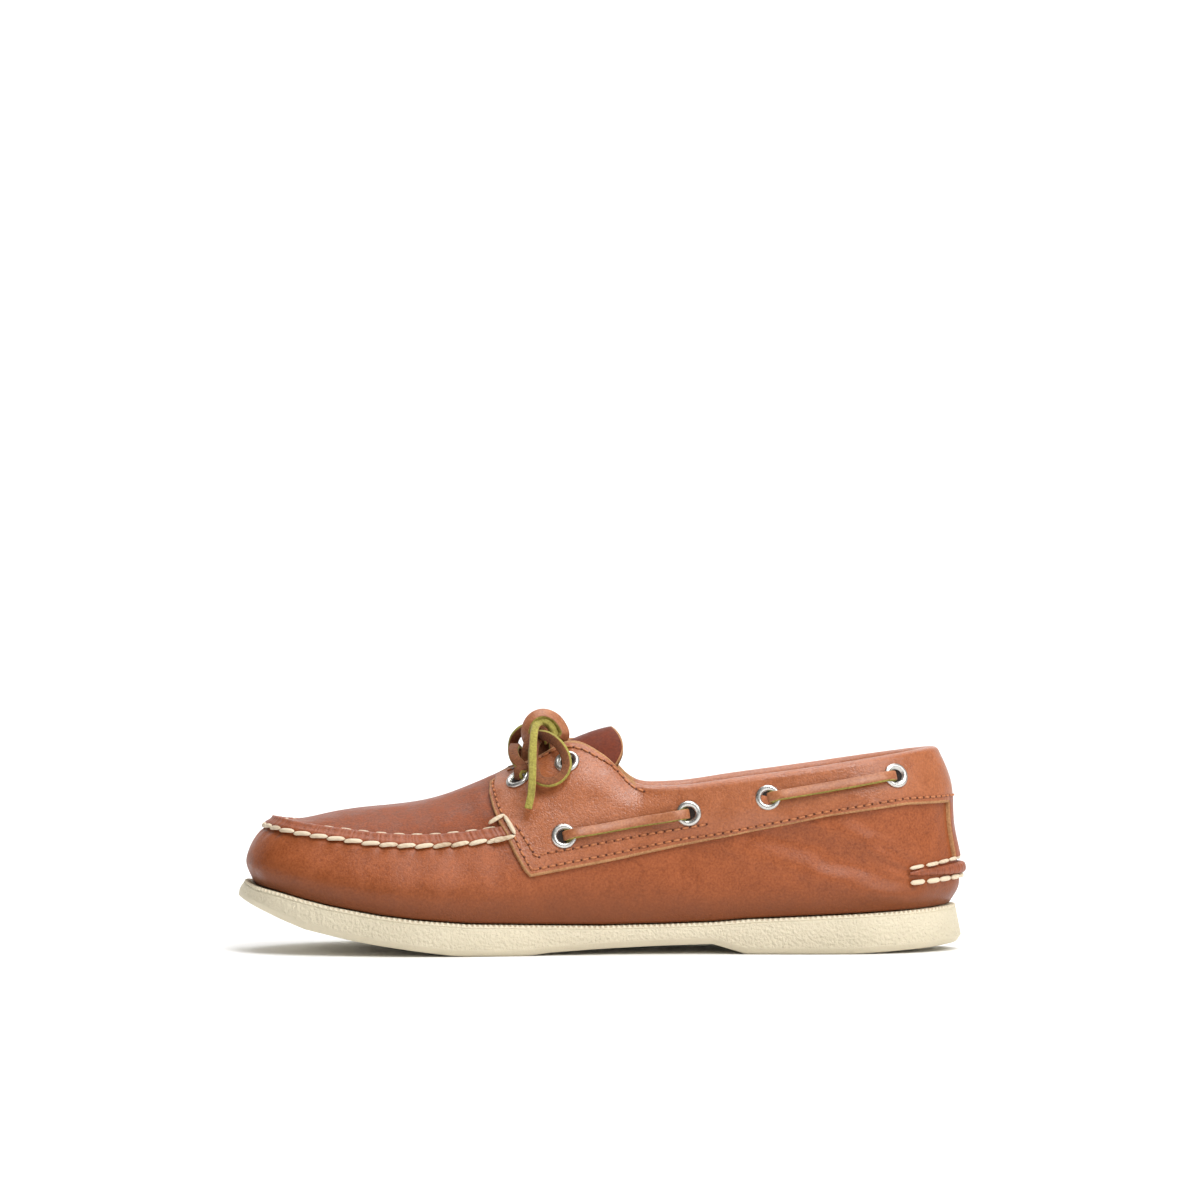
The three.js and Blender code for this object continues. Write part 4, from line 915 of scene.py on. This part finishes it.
def beside(side, u, v, du, dv, away):
    """A line at a distance from the line u, v of the saddle's patch: a step du, dv scaled by the metres it spans."""
    here, there = (bare(side, *saddle_place(side, u + i * du, v + i * dv)) for i in (0, 1))
    step = away / np.linalg.norm(there - here, axis=1)
    row, share = saddle_place(side, u + du * step, v + dv * step)
    return outer_row(side, row), share


fine_rows = []
for side in (-1, 1):
    low, front, rim = np.linspace(0.012, 1, 1500), np.linspace(0.03, 0.88, 1500), np.linspace(0.03, 0.352, 400)
    fine_rows += [
        beside(side, low, 0 * low, 0, 0.1, EDGE_AWAY), beside(side, 0 * front, front, 0.01, 0, EDGE_AWAY),
        side_line([(-34.4, 52.6), (-26.4, 40.3), (43.5, 53.2)], side),
        beside(side, rim, 1 + 0 * rim, 0, -0.1, FACING_AWAY)]
fine_parts, hole_parts = [], []
for rows, shares in fine_rows:
    spot, ahead, up = even_stops(rows, shares, FINE_PITCH, SADDLE_LIFT + 0.0002)
    fine_parts.append(stamp(bead(0.0027, 0.00046, 0.8, 6, 5, 0.00015), spot, ahead, up))
    middle = spot + ahead * FINE_PITCH / 2 - up * 0.0001
    hole_parts.append(stamp(bead(0.0011, 0.0005, 0.35, 6, 4), middle, ahead, up))
add_piece("saddle_stitches", *joined(fine_parts), [fine_thread])
add_piece("saddle_needle_holes", *joined(hole_parts), [hole_dark])

# Insole: a leather sock over a thin board, glued inside on the sole, cupped a little at its edge.
# Undyed sock leather, pale, matt and almost without grain
sock_leather = leather("bare_sock_leather", "#b98a5c", "#9a6e45", rough=0.6, bump=0.08)
SOCK_THICK, SOCK_GAP = 0.0026, 0.0003


def sole_ring(rows, extra, level, rise):
    """Points of one ring of the sole at a rise from its lower (1) or upper (2) edge. The outline is moved in by an
    extra, less at the toe, and by what the side has leaned in at that share of its height."""
    point, outward = plan(rows)
    side, toe, heel = RIM_INSET
    low, high = (side_height(point[:, 0], k) for k in (1, 2))
    height = (low if level == 1 else high) + rise
    leaning = (side + np.where(outward[:, 0] < 0, toe, heel) * outward[:, 0] ** 2) * (height - low) / (high - low)
    kept = extra if level == 2 else extra * (1 - 0.65 * np.clip(-outward[:, 0], 0, 1) ** 2)
    point = point - outward * np.reshape(leaning + kept, (-1, 1))
    point[:, 2] = side_height(point[:, 0], level) + rise
    return point


sock_rows = np.arange(0, LAST * 8 + 1) / 8
sock_inset = FEATHER_INSET[0] + WALL + SOCK_GAP
inner_edge, outer_edge = (sole_ring(rows, sock_inset, 2, SOCK_GAP) for rows in (sock_rows, (-sock_rows) % TURN))
sock_across = np.linspace(-1, 1, 25)[None, :, None]
sock_top = (inner_edge[:, None] * (1 - sock_across) + outer_edge[:, None] * (1 + sock_across)) / 2
sock_top[..., 2] += SOCK_THICK + 0.0006 * np.abs(sock_across[..., 0]) ** 3
sock_base = sock_top - [0, 0, SOCK_THICK]
sock_index = numbers(sock_top)
base_index = numbers(sock_base, sock_index.size)
walls = [cells(np.stack([sock_index[:, k], base_index[:, k]], 1)) for k in (0, -1)]
sock_faces = np.concatenate([cells(sock_index), cells(base_index)[:, ::-1], *walls])
insole = add_piece("insole_sock", np.concatenate([sock_top.reshape(-1, 3), sock_base.reshape(-1, 3)]), sock_faces,
                   [sock_leather])
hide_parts("insole")

# Outsole: one piece of cream rubber moulded in a tool. Its top rim is ribbed with small teeth over a faint line,
# its side is pebbled, its lower edge is bevelled, and fine wavy sipes cross the tread.
def rubber(name, pattern_mm, strength, siped=False):
    """Moulded rubber: cream, a little darker in soft clouds, matt, with a pebbled face or one cut by wavy sipes."""
    made, tree = new_material(name)
    place = put(tree, "TexCoord").outputs["Object"]
    clouds = put(tree, "TexNoise", {"Scale": 35.0, "Detail": 3.0}, Vector=place).outputs["Fac"]
    colour = put(tree, "Mix", {"data_type": "RGBA", 6: linear("#ccc1a7"), 7: linear("#ded3b9")}, i0=clouds)
    if siped:
        spot = put(tree, "SeparateXYZ", Vector=place)
        angle = put(tree, "Math", {"operation": "MULTIPLY", 1: 1400.0}, i0=spot.outputs[1]).outputs[0]
        wavy = put(tree, "Math", {"operation": "SINE"}, i0=angle).outputs[0]
        swayed = put(tree, "Math", {"operation": "MULTIPLY_ADD", 1: 0.0008}, i0=wavy, i2=spot.outputs[0]).outputs[0]
        bands = put(tree, "TexWave", {"Scale": 1000 / pattern_mm / 6.28, "Distortion": 0.0, "bands_direction": "X"},
                    Vector=put(tree, "CombineXYZ", X=swayed).outputs[0]).outputs["Fac"]
        height = put(tree, "Math", {"operation": "POWER", 1: 0.25}, i0=bands).outputs[0]
    else:
        height = put(tree, "TexNoise", {"Scale": 1000 / pattern_mm, "Detail": 2.0}, Vector=place).outputs["Fac"]
    raised = put(tree, "Bump", {"Strength": strength, "Distance": 0.0014}, Height=height)
    moulded = put(tree, "BsdfPrincipled", {"Roughness": 0.55, "IOR": 1.52, "Specular IOR Level": 0.4},
                  Base_Color=colour.outputs[2], Normal=raised.outputs[0])
    put(tree, "OutputMaterial", Surface=moulded.outputs[0])
    return made


# The side's pebbles catch the light, the rims and the bevel are nearly smooth, and the tread has sipes 4 mm apart
pebbled_rubber = rubber("moulded_cream_rubber", 1.2, 0.7)
plain_rubber = rubber("smooth_cream_rubber", 0.7, 0.15)
tread_rubber = rubber("siped_tread_rubber", 4.0, 0.5, True)
TOOTH_PITCH, TOOTH_DEPTH, TOOTH_INSET = 0.0022, 0.0009, 0.0003
around = np.arange(0, TURN * 40) / 40
rim_line, _ = plan(around)
rim_run = run_length(np.concatenate([rim_line, rim_line[:1]]))
teeth = np.cos(2 * np.pi * round(rim_run[-1] / TOOTH_PITCH) * rim_run[:-1] / rim_run[-1])
notch = np.clip(0.5 - teeth, 0, 1)
SOLE_RINGS = [  # edge, rise and inset in metres, share of the teeth's depth
    (1, 0.0, 0.0026, 0), (1, 0.0004, 0.002, 0), (1, 0.0022, 0.0003, 0), (1, 0.0027, 0.0, 0), (2, -0.0034, 0.0, 0),
    (2, -0.0021, 0.0, 0), (2, -0.0018, 0.0, 0), (2, -0.0016, 0.0003, 0), (2, -0.0014, 0.0003, 0),
    (2, -0.0012, 0.0, 0.05), (2, -0.001, 0.0, 0.15), (2, -0.0001, 0.0, 1), (2, 0.0001, 0.0003, 1),
    (2, 0.0001, 0.0009, 1), (2, 0.0, 0.0018, 0.5), (2, -0.0002, 0.006, 0)]
rings = np.array([
    sole_ring(around, inset + TOOTH_INSET * depth * notch, edge, rise - TOOTH_DEPTH * depth * notch)
    for edge, rise, inset, depth in SOLE_RINGS])
ring_index = numbers(rings)
side_faces = cells(ring_index.T, around=True)
ring_of_face = np.tile(np.arange(len(SOLE_RINGS) - 1), len(around))
half = np.arange(0, len(around) // 2)
back = (-half) % len(around)
caps = [np.stack([ring_index[k][half], ring_index[k][(half + 1) % len(around)],
                  ring_index[k][(-half - 1) % len(around)], ring_index[k][back]], 1) for k in (0, -1)]
on_side = (ring_of_face > 2) & (ring_of_face < 6)  # between the bevel and the faint line
sole_which = np.concatenate([np.where(on_side, 0, 1), np.full(len(caps[0]), 2), np.full(len(caps[1]), 1)])
outsole = add_piece("rubber_outsole", rings.reshape(-1, 3), np.concatenate([side_faces, *caps]),
                    [pebbled_rubber, plain_rubber, tread_rubber], sole_which)
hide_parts("outsole")

# Eyelets: pressed rings of plain satin metal with a rounded flange and a short barrel, set through saddle and
# upper. Where a lace leaves it free, the hole shows dark.
EYELETS = {  # x and z in the side view, over the length and the instep height
    1: (0.39, 0.793), 2: (0.456, 0.878), 3: (0.4505, 0.5455), 4: (0.6207, 0.6515), 5: (0.7282, 0.7245),
    6: (0.901, 0.819)}
# Plated metal with a brushed gloss and fine scuffs, which mirrors the room softly
satin_metal, tree = new_material("plated_satin_metal")
place = put(tree, "TexCoord").outputs["Object"]
scuff = put(tree, "TexNoise", {"Scale": 900.0, "Detail": 3.0}, Vector=place).outputs["Fac"]
dull = put(tree, "MapRange", {"From Min": 0.3, "From Max": 0.7, "To Min": 0.24, "To Max": 0.36}, Value=scuff)
worn = put(tree, "Bump", {"Strength": 0.1, "Distance": 0.0002}, Height=scuff)
plated = put(tree, "BsdfPrincipled", {"Base Color": linear("#c9c7c2"), "Metallic": 1.0},
             Roughness=dull.outputs[0], Normal=worn.outputs[0])
put(tree, "OutputMaterial", Surface=plated.outputs[0])
# The dark inside of the barrel
hole_shade = even_material("shade_in_the_hole", "#1d120c", 0.9)
EYELET_PROFILE = np.array([  # radius and height over the saddle, in mm
    [2.7, -4.4], [3.0, -4.4], [3.0, -0.2], [5.1, -0.1], [5.2, 0.15], [5.1, 0.5], [4.7, 0.9], [4.2, 1.08],
    [3.7, 1.05], [3.2, 0.85], [2.85, 0.45], [2.7, 0.12]]) / 1000
EYELET_STEPS = 48


def seat(number, side):
    """Point of the upper under an eyelet's centre, and its normal."""
    along, height = EYELETS[number]
    row, share = side_place(np.array([(along - 0.5) * LENGTH]), np.array([height * INSTEP]), side)
    point, normal = skin(row, share, 0.0, False)
    return point[0], normal[0] / np.linalg.norm(normal[0])


def square_to(normal):
    """Two directions across a normal, the first level along the shoe."""
    first = np.cross(np.cross(normal, [1.0, 0, 0]), normal)
    first = -first / np.linalg.norm(first)
    return first, np.cross(normal, first)


turns = np.arange(EYELET_STEPS)[:, None] * 2 * np.pi / EYELET_STEPS
eyelet_foot = EYELET_PROFILE[0, 1]
seats = {}
for side, word in ((-1, "inner"), (1, "outer")):
    for number in EYELETS:
        point, normal = seats[number, side] = seat(number, side)
        first, second = square_to(normal)
        ring = (first * np.cos(turns) + second * np.sin(turns))[:, None]
        body = point + normal * (SADDLE_LIFT + EYELET_PROFILE[:, 1:]) + ring * EYELET_PROFILE[None, :, :1]
        index = numbers(body)
        top, foot = (np.full(EYELET_STEPS, index.size + i) for i in (0, 1))  # the middles of the hole's two ends
        middles = [point + normal * (SADDLE_LIFT + 0.00012), point + normal * (SADDLE_LIFT + eyelet_foot)]
        ends = np.concatenate([np.stack([index[:, -1], np.roll(index[:, -1], -1), top, top], 1),
                               np.stack([np.roll(index[:, 0], -1), index[:, 0], foot, foot], 1)])
        flange = cells(index, True)
        made = add_piece(f"eyelet_ring_{number}_{word}", np.concatenate([body.reshape(-1, 3), middles]),
                         np.concatenate([flange, ends]), [satin_metal, hole_shade],
                         np.repeat([0, 1], [len(flange), len(ends)]))
        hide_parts(f"eyelet_{number}_{word}")

# Tongue: a sheet of dark red-brown hide that starts under the plug, rises through the throat between the facings
# and ends in a rounded raw edge.
TONGUE = np.array([  # along, height, half width over the ball's, drop at the side edges over the instep height
    [0.325, 0.765, 0.14, 0.07], [0.36, 0.805, 0.17, 0.12], [0.388, 0.861, 0.19, 0.15], [0.414, 0.9, 0.21, 0.18],
    [0.44, 0.952, 0.22, 0.2], [0.464, 0.99, 0.225, 0.21], [0.487, 1.02, 0.215, 0.2], [0.51, 1.042, 0.185, 0.16],
    [0.518, 1.045, 0.165, 0.12]])
TONGUE_THICK = 0.0024
THROAT_SHARE = 90  # column of the master surface above which the leather can lie over the tongue
throat_points = master[:, THROAT_SHARE:].reshape(-1, 3)
throat_normals = master_normal[:, THROAT_SHARE:].reshape(-1, 3)
near_throat = (throat_points[:, 0] > -0.06) & (throat_points[:, 0] < 0.02)
throat_points, throat_normals = throat_points[near_throat], throat_normals[near_throat]
throat_tree = kdtree.KDTree(len(throat_points))
for number, (px, py, _) in enumerate(throat_points):
    throat_tree.insert((px, py, 0), number)
throat_tree.balance()
under_leather = throat_points[:, 2] - (WALL + 0.0009) / np.clip(throat_normals[:, 2], 0.35, 1)
tongue_s, tongue_t = np.linspace(0, len(TONGUE) - 1, 49), np.linspace(-1, 1, 41)
lines = spline(TONGUE, tongue_s)
tongue_x = ((lines[:, 0] - 0.5) * LENGTH)[:, None] + 0 * tongue_t[None]
tongue_y = (lines[:, 2] * BALL)[:, None] * tongue_t[None]
tip = np.clip(tongue_s / 8 - 0.45, 0, 1)[:, None] / 0.55
side_reach = np.abs(tongue_t[None])
tongue_x = tongue_x + tip * (0.0052 * np.sin(np.minimum(side_reach / 0.85, 1) * np.pi / 2) ** 2
                             - 0.0034 * np.clip(side_reach - 0.7, 0, 1) ** 2 / 0.09 - 0.0008)
tongue_z = (lines[:, 1:2] - (lines[:, 3:4] + 0.05 * tip) * side_reach ** 2.2) * INSTEP + 0.0002 * tip
ceiling = np.array([min([under_leather[i] for _, i, _ in throat_tree.find_range((a, b, 0), 0.0016)] or [1.0])
                    for a, b in zip(tongue_x.ravel(), tongue_y.ravel())]).reshape(tongue_x.shape)
tongue_z = np.minimum(tongue_z, ceiling)
for _ in range(3):
    tongue_z[1:-1, 1:-1] = (tongue_z[1:-1, 1:-1] * 2 + tongue_z[:-2, 1:-1] + tongue_z[2:, 1:-1]
                            + tongue_z[1:-1, :-2] + tongue_z[1:-1, 2:]) / 6
    tongue_z = np.minimum(tongue_z, ceiling)
tongue_top = np.stack([tongue_x, tongue_y, tongue_z], -1)
tongue_base = tongue_top - [0, 0, TONGUE_THICK]
top_index = numbers(tongue_top)
rim_top = np.concatenate([top_index[0], top_index[1:, -1], top_index[-1, -2::-1], top_index[-2:0:-1, 0]])
upper_side = cells(top_index)
tongue_faces = np.concatenate([upper_side, upper_side[:, ::-1] + top_index.size,
                               cells(np.stack([rim_top, rim_top + top_index.size], 1), True)])
last_strip = len(upper_side) - (len(tongue_t) - 1)  # the faces at the very end look cut, as the rim does
tongue_which = np.zeros(len(tongue_faces), int)
tongue_which[last_strip:len(upper_side)] = tongue_which[-len(rim_top):] = 1
# Dyed cowhide, darker and redder than the upper, with a paler cut edge
tongue_leather = leather("dyed_tongue_cowhide", "#742e14", "#52200c", rough=0.5, shine=0.15)
tongue = add_piece("leather_tongue", np.concatenate([tongue_top.reshape(-1, 3), tongue_base.reshape(-1, 3)]),
                   tongue_faces, [tongue_leather, cut_edge], tongue_which)
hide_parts("tongue")

# Side laces: one flat rawhide lace, cut from oiled hide, tan and smooth on its face and olive suede at its cut
# sides. It dips out of one eyelet and into the next.
LACE_WIDTH, LACE_THICK = 0.0042, 0.0022
LACE_CORNERS, CUT_SIDES = 16, (6, 7, 8, 14, 15, 0)
# The grain side: tan, smooth and a little oily
lace_face = leather("oiled_rawhide_face", "#b0724b", "#874c2b", rough=0.42, grain_mm=0.6)
# The cut sides: olive from the tanning, with a short nap
lace_suede = leather("olive_rawhide_suede", "#ada34e", "#766a2a", rough=0.9, grain_mm=0.4, bump=0.8)
# The flesh side of the lace: brown and napped
lace_flesh = leather("brown_rawhide_flesh", "#8f5633", "#5a321a", rough=0.85, grain_mm=0.4, bump=1.0)


def ribbon(points, flat_way, wide=LACE_WIDTH, ends=0.5):
    """A flat lace along points: a rounded rectangle in each cross-section, a little smaller at both ends. flat_way
    is the direction that its wide face looks to. Gives points, faces and which faces are cut sides."""
    ahead = np.gradient(points, axis=0)
    ahead /= np.linalg.norm(ahead, axis=1, keepdims=True)
    flat_way = flat_way - ahead * np.sum(flat_way * ahead, 1, keepdims=True)
    flat_way = flat_way / np.linalg.norm(flat_way, axis=1, keepdims=True)
    across = np.cross(ahead, flat_way)
    corner = LACE_THICK * 0.35
    angle = (np.arange(LACE_CORNERS)[:, None] + 0.5) * 2 * np.pi / LACE_CORNERS
    spread = np.sign(np.cos(angle)) * (wide / 2 - corner) + corner * np.cos(angle)
    height = np.sign(np.sin(angle)) * (LACE_THICK / 2 - corner) + corner * np.sin(angle)
    size = np.ones((len(points), 1, 1))
    size[0] = size[-1] = ends
    ring = points[:, None] + (across[:, None] * spread + flat_way[:, None] * height) * size
    index = numbers(ring)
    caps = [index[k, [i, i + 1, -2 - i, -1 - i]][None] for k in (0, -1) for i in range(LACE_CORNERS // 2 - 1)]
    which = np.tile(np.isin(np.arange(LACE_CORNERS), CUT_SIDES).astype(int), len(points) - 1)
    faces = np.concatenate([cells(index, closed=True), *caps])
    return ring.reshape(-1, 3), faces, np.append(which, np.ones(len(caps), int))


def smooth_path(points, count):
    """Evenly spaced points on the smooth curve through a few points."""
    dense = spline(points, np.linspace(0, len(points) - 1, 40 * len(points)))
    run = run_length(dense)
    at = np.linspace(0, run[-1], count)
    return np.stack([np.interp(at, run, dense[:, k]) for k in range(dense.shape[1])], 1)


# share of the way from hole to hole, height of the lace's middle over the saddle in mm
share, lift = np.array([
    [0.09, 2.35], [0.2, 2.05], [0.35, 1.6], [0.5, 1.35], [0.65, 1.6], [0.8, 2.05], [0.91, 2.35]]).T
for side, word in ((-1, "inner"), (1, "outer")):
    for part, first_hole, second_hole in (("front", 3, 4), ("rear", 5, 6)):
        (start, start_way), (end, end_way) = seats[first_hole, side], seats[second_hole, side]
        bar = (end - start) / np.linalg.norm(end - start)
        (x0, z0), (x1, z1) = EYELETS[first_hole], EYELETS[second_hole]
        rows, shares = side_place((x0 + (x1 - x0) * share - 0.5) * LENGTH, (z0 + (z1 - z0) * share) * INSTEP, side)
        middle, ways = skin(rows, shares, SADDLE_LIFT + lift / 1000, False)
        dips = [(-0.0032, 0.0002, 0.35), (0.0003, 0.0009, 0.8)]  # in the hole and at its rim: height, way in, turn
        into = [start + start_way * (SADDLE_LIFT + up) + bar * way for up, way, _ in dips]
        out_of = [end + end_way * (SADDLE_LIFT + up) - bar * way for up, way, _ in dips[::-1]]
        route = np.concatenate([into, middle, out_of])
        looks = np.concatenate([[start_way * turn - bar for *_, turn in dips], ways + [0, 0, 0.35],
                                [end_way * turn + bar for *_, turn in dips[::-1]]])
        both = smooth_path(np.concatenate([route, looks / 1000], 1), 90)
        lace_points, lace_faces, lace_which = ribbon(both[:, :3], both[:, 3:])
        lace = add_piece(f"side_lace_{part}_{word}_rawhide", lace_points, lace_faces, [lace_face, lace_suede],
                         lace_which)
        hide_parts(f"side_lace_{part}_{word}")

# Front lace: the same lace from one front facing eyelet, up over the tongue, to the other. Its flesh side, brown
# and napped, looks outwards here.
(near_seat, near_way), (far_seat, far_way) = seats[1, -1], seats[1, 1]
arch = np.array([[-31.5, -21.4, 75.4], [-34.6, -17.0, 78.8], [-35.8, -11.6, 81.6], [-35.4, -1.0, 83.6],
                 [-35.2, 9.0, 83.4], [-34.0, 15.6, 80.8]]) / 1000
route = np.concatenate([
    [near_seat + near_way * (SADDLE_LIFT - 0.003),
     near_seat + near_way * (SADDLE_LIFT + 0.0026) + [0.0013, 0, 0.0012]],
    arch, [far_seat + far_way * (SADDLE_LIFT + up) for up in (0.0018, -0.003)]])
looks = np.array([[0, 0, -1], near_way + [0, 0, -0.2], [0, -1, 0.5], [-0.2, -0.9, 0.6], [0, -0.4, 1], [0, 0, 1],
                  [0, 0.4, 1], [0, 0.8, 0.6], far_way + [0, 0, -0.2], [0, 0, -1]], float)
both = smooth_path(np.concatenate([route, looks / 1000], 1), 120)
lace_points, lace_faces, lace_which = ribbon(both[:, :3], both[:, 3:])
front_lace = add_piece("front_lace_rawhide", lace_points, lace_faces, [lace_flesh, lace_suede], lace_which)
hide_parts("front_lace")

# Bow: the two ends of the lace come up out of the throat and are tied over it: a knot of strands one inside the
# other, and a loop and a free end to each side. Each loop and end is one flat lace of stiff rawhide.
BOW = {  # points in mm, starting at the knot
    "loop_inner": [(-25.4, -8.4, 88.6), (-23.8, -14, 88.8), (-20.4, -20.6, 88), (-16.4, -25.6, 84.8),
                   (-13.9, -29.4, 80.2), (-13.7, -32.2, 75.8), (-16.4, -34.4, 71.8), (-20.6, -35, 70.2),
                   (-25, -33.4, 71.4), (-27, -29.6, 75.6), (-27.4, -24, 80.4), (-27, -17.6, 84.6),
                   (-25.8, -11.6, 87)],
    "end_inner": [(-25.2, -7.2, 93.2), (-26.5, -14.6, 92.2), (-27.2, -23.6, 88.0), (-27.4, -31.4, 80.8),
                  (-27.5, -36.6, 73.0), (-28, -39, 65.2), (-29.2, -39.8, 59.6)],
    "loop_outer": [(-28, 7, 91.2), (-32, 9.2, 90.6), (-35.4, 12.6, 87.2), (-36.4, 17, 82.2), (-35.4, 22, 77.6),
                   (-31.6, 26.4, 74.4), (-26, 29.2, 73.6), (-20, 31.2, 76.4), (-15.6, 29, 81), (-15, 23.2, 87),
                   (-17.2, 15.6, 91), (-19.6, 9, 92.4)],
    "end_outer": [(-23.4, 5.5, 94.6), (-23.6, 13.2, 94.6), (-23.6, 21.2, 90), (-23.6, 30.2, 83.2),
                  (-23.6, 35.2, 75.4), (-23.6, 38, 67.4), (-23.6, 37.8, 60.4)]}
BOW_LOOK = {"loop_inner": (-0.1, -1, 0.15), "end_inner": (0.05, -1, 0.3), "loop_outer": (-0.35, 1, 0.45),
            "end_outer": (-0.05, 1, 0.35)}
BOW_FINISH = {"loop_inner": [lace_flesh, lace_suede], "end_inner": [lace_suede, lace_face],
              "loop_outer": [lace_flesh, lace_suede], "end_outer": [lace_suede, lace_face]}
knot_middle = np.array([-22.8, -1, 88]) / 1000
KNOT = [  # points in mm, width in mm, first of its two finishes; the flat side looks away from the knot's middle
    ([(-28.4, -2, 84.2), (-30.1, -2.4, 87), (-30.5, -2.6, 90.2), (-29.2, -2.6, 94), (-26.8, -2.2, 96.4),
      (-23.4, -1.6, 97.3), (-19, -1.2, 95.7), (-16.2, -1.4, 92.5), (-14.8, -2, 88.9), (-16.2, -2.4, 86.4)], 5.4, 0),
    ([(-26.6, -1.4, 84.6), (-27.9, -2, 88), (-27.9, -2.4, 91.4), (-26.2, -2.4, 94.2), (-23.4, -2, 95.1),
      (-20.2, -1.8, 93.7), (-18.2, -2, 90.6), (-17, -2.4, 87)], 7.2, 2),
    ([(-24.8, -1, 85.6), (-25.6, -1.6, 89), (-24.8, -2, 92), (-23, -2, 92.8), (-21.2, -2, 91.2), (-20.2, -2, 88.2),
      (-19.4, -2, 85.4)], 8.6, 4),
    ([(-23.2, 1, 91), (-23.2, 0, 88), (-23, -1, 84), (-23.2, -1, 79)], 6.0, 4)]
KNOT_ENDS = [  # points in mm, what the flat side looks to: two strands up from the throat, then two across the top
    ([(-27.5, -3.5, 89), (-29.2, -7, 86), (-30.2, -9.6, 82), (-30.4, -9.6, 77.5)], (-0.3, -1, 0.2)),
    ([(-19.4, -2.5, 89), (-19.2, -5, 86.5), (-18.8, -6.4, 83), (-18.6, -6, 79.6)], (0.2, -1, 0.2)),
    ([(-27.2, -3, 89.5), (-27.4, 0, 92), (-27.6, 5, 92), (-28.2, 8.4, 90.6)], (0.4, 0, 1)),
    ([(-18.4, -3, 89), (-18.6, 0, 91.4), (-19.2, 5, 91.8), (-20.2, 8.4, 91.6)], (0.5, 0, 1))]
strands, strand_which = [], []
for corners, wide, slot in KNOT:
    route = smooth_path(np.array(corners) / 1000, 70)
    look = (route - knot_middle) * [1, 0, 1]
    look = look / np.linalg.norm(look, axis=1, keepdims=True) - [0, 0.75, 0]
    *strand, which = ribbon(route, look, wide / 1000, 0.8)
    strands.append(strand)
    strand_which.append(which + slot)
for corners, look in KNOT_ENDS:
    route = smooth_path(np.array(corners) / 1000, 40)
    *strand, which = ribbon(route, look + 0 * route, ends=0.7)
    strands.append(strand)
    strand_which.append(which + 4)
knot_points, knot_faces = joined(strands)
knot = add_piece("bow_knot", knot_points, knot_faces,
                 [lace_face, lace_suede, lace_suede, lace_suede, lace_flesh, lace_suede], np.concatenate(strand_which))
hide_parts("knot")
for name, route in BOW.items():
    route = smooth_path(np.array(route) / 1000, 140)
    inwards = route.mean(0) - route
    inwards /= np.linalg.norm(inwards, axis=1, keepdims=True)
    look = np.array(BOW_LOOK[name]) + inwards * (0.55 if name == "loop_inner" else 0)  # dished towards its middle
    wide = LACE_WIDTH if "loop" in name else LACE_WIDTH - 0.0009
    strand_points, strand_faces, strand_which = ribbon(route, look, wide, 0.9)
    strand = add_piece(f"bow_{name}", strand_points, strand_faces, BOW_FINISH[name], strand_which)
    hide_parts(name)
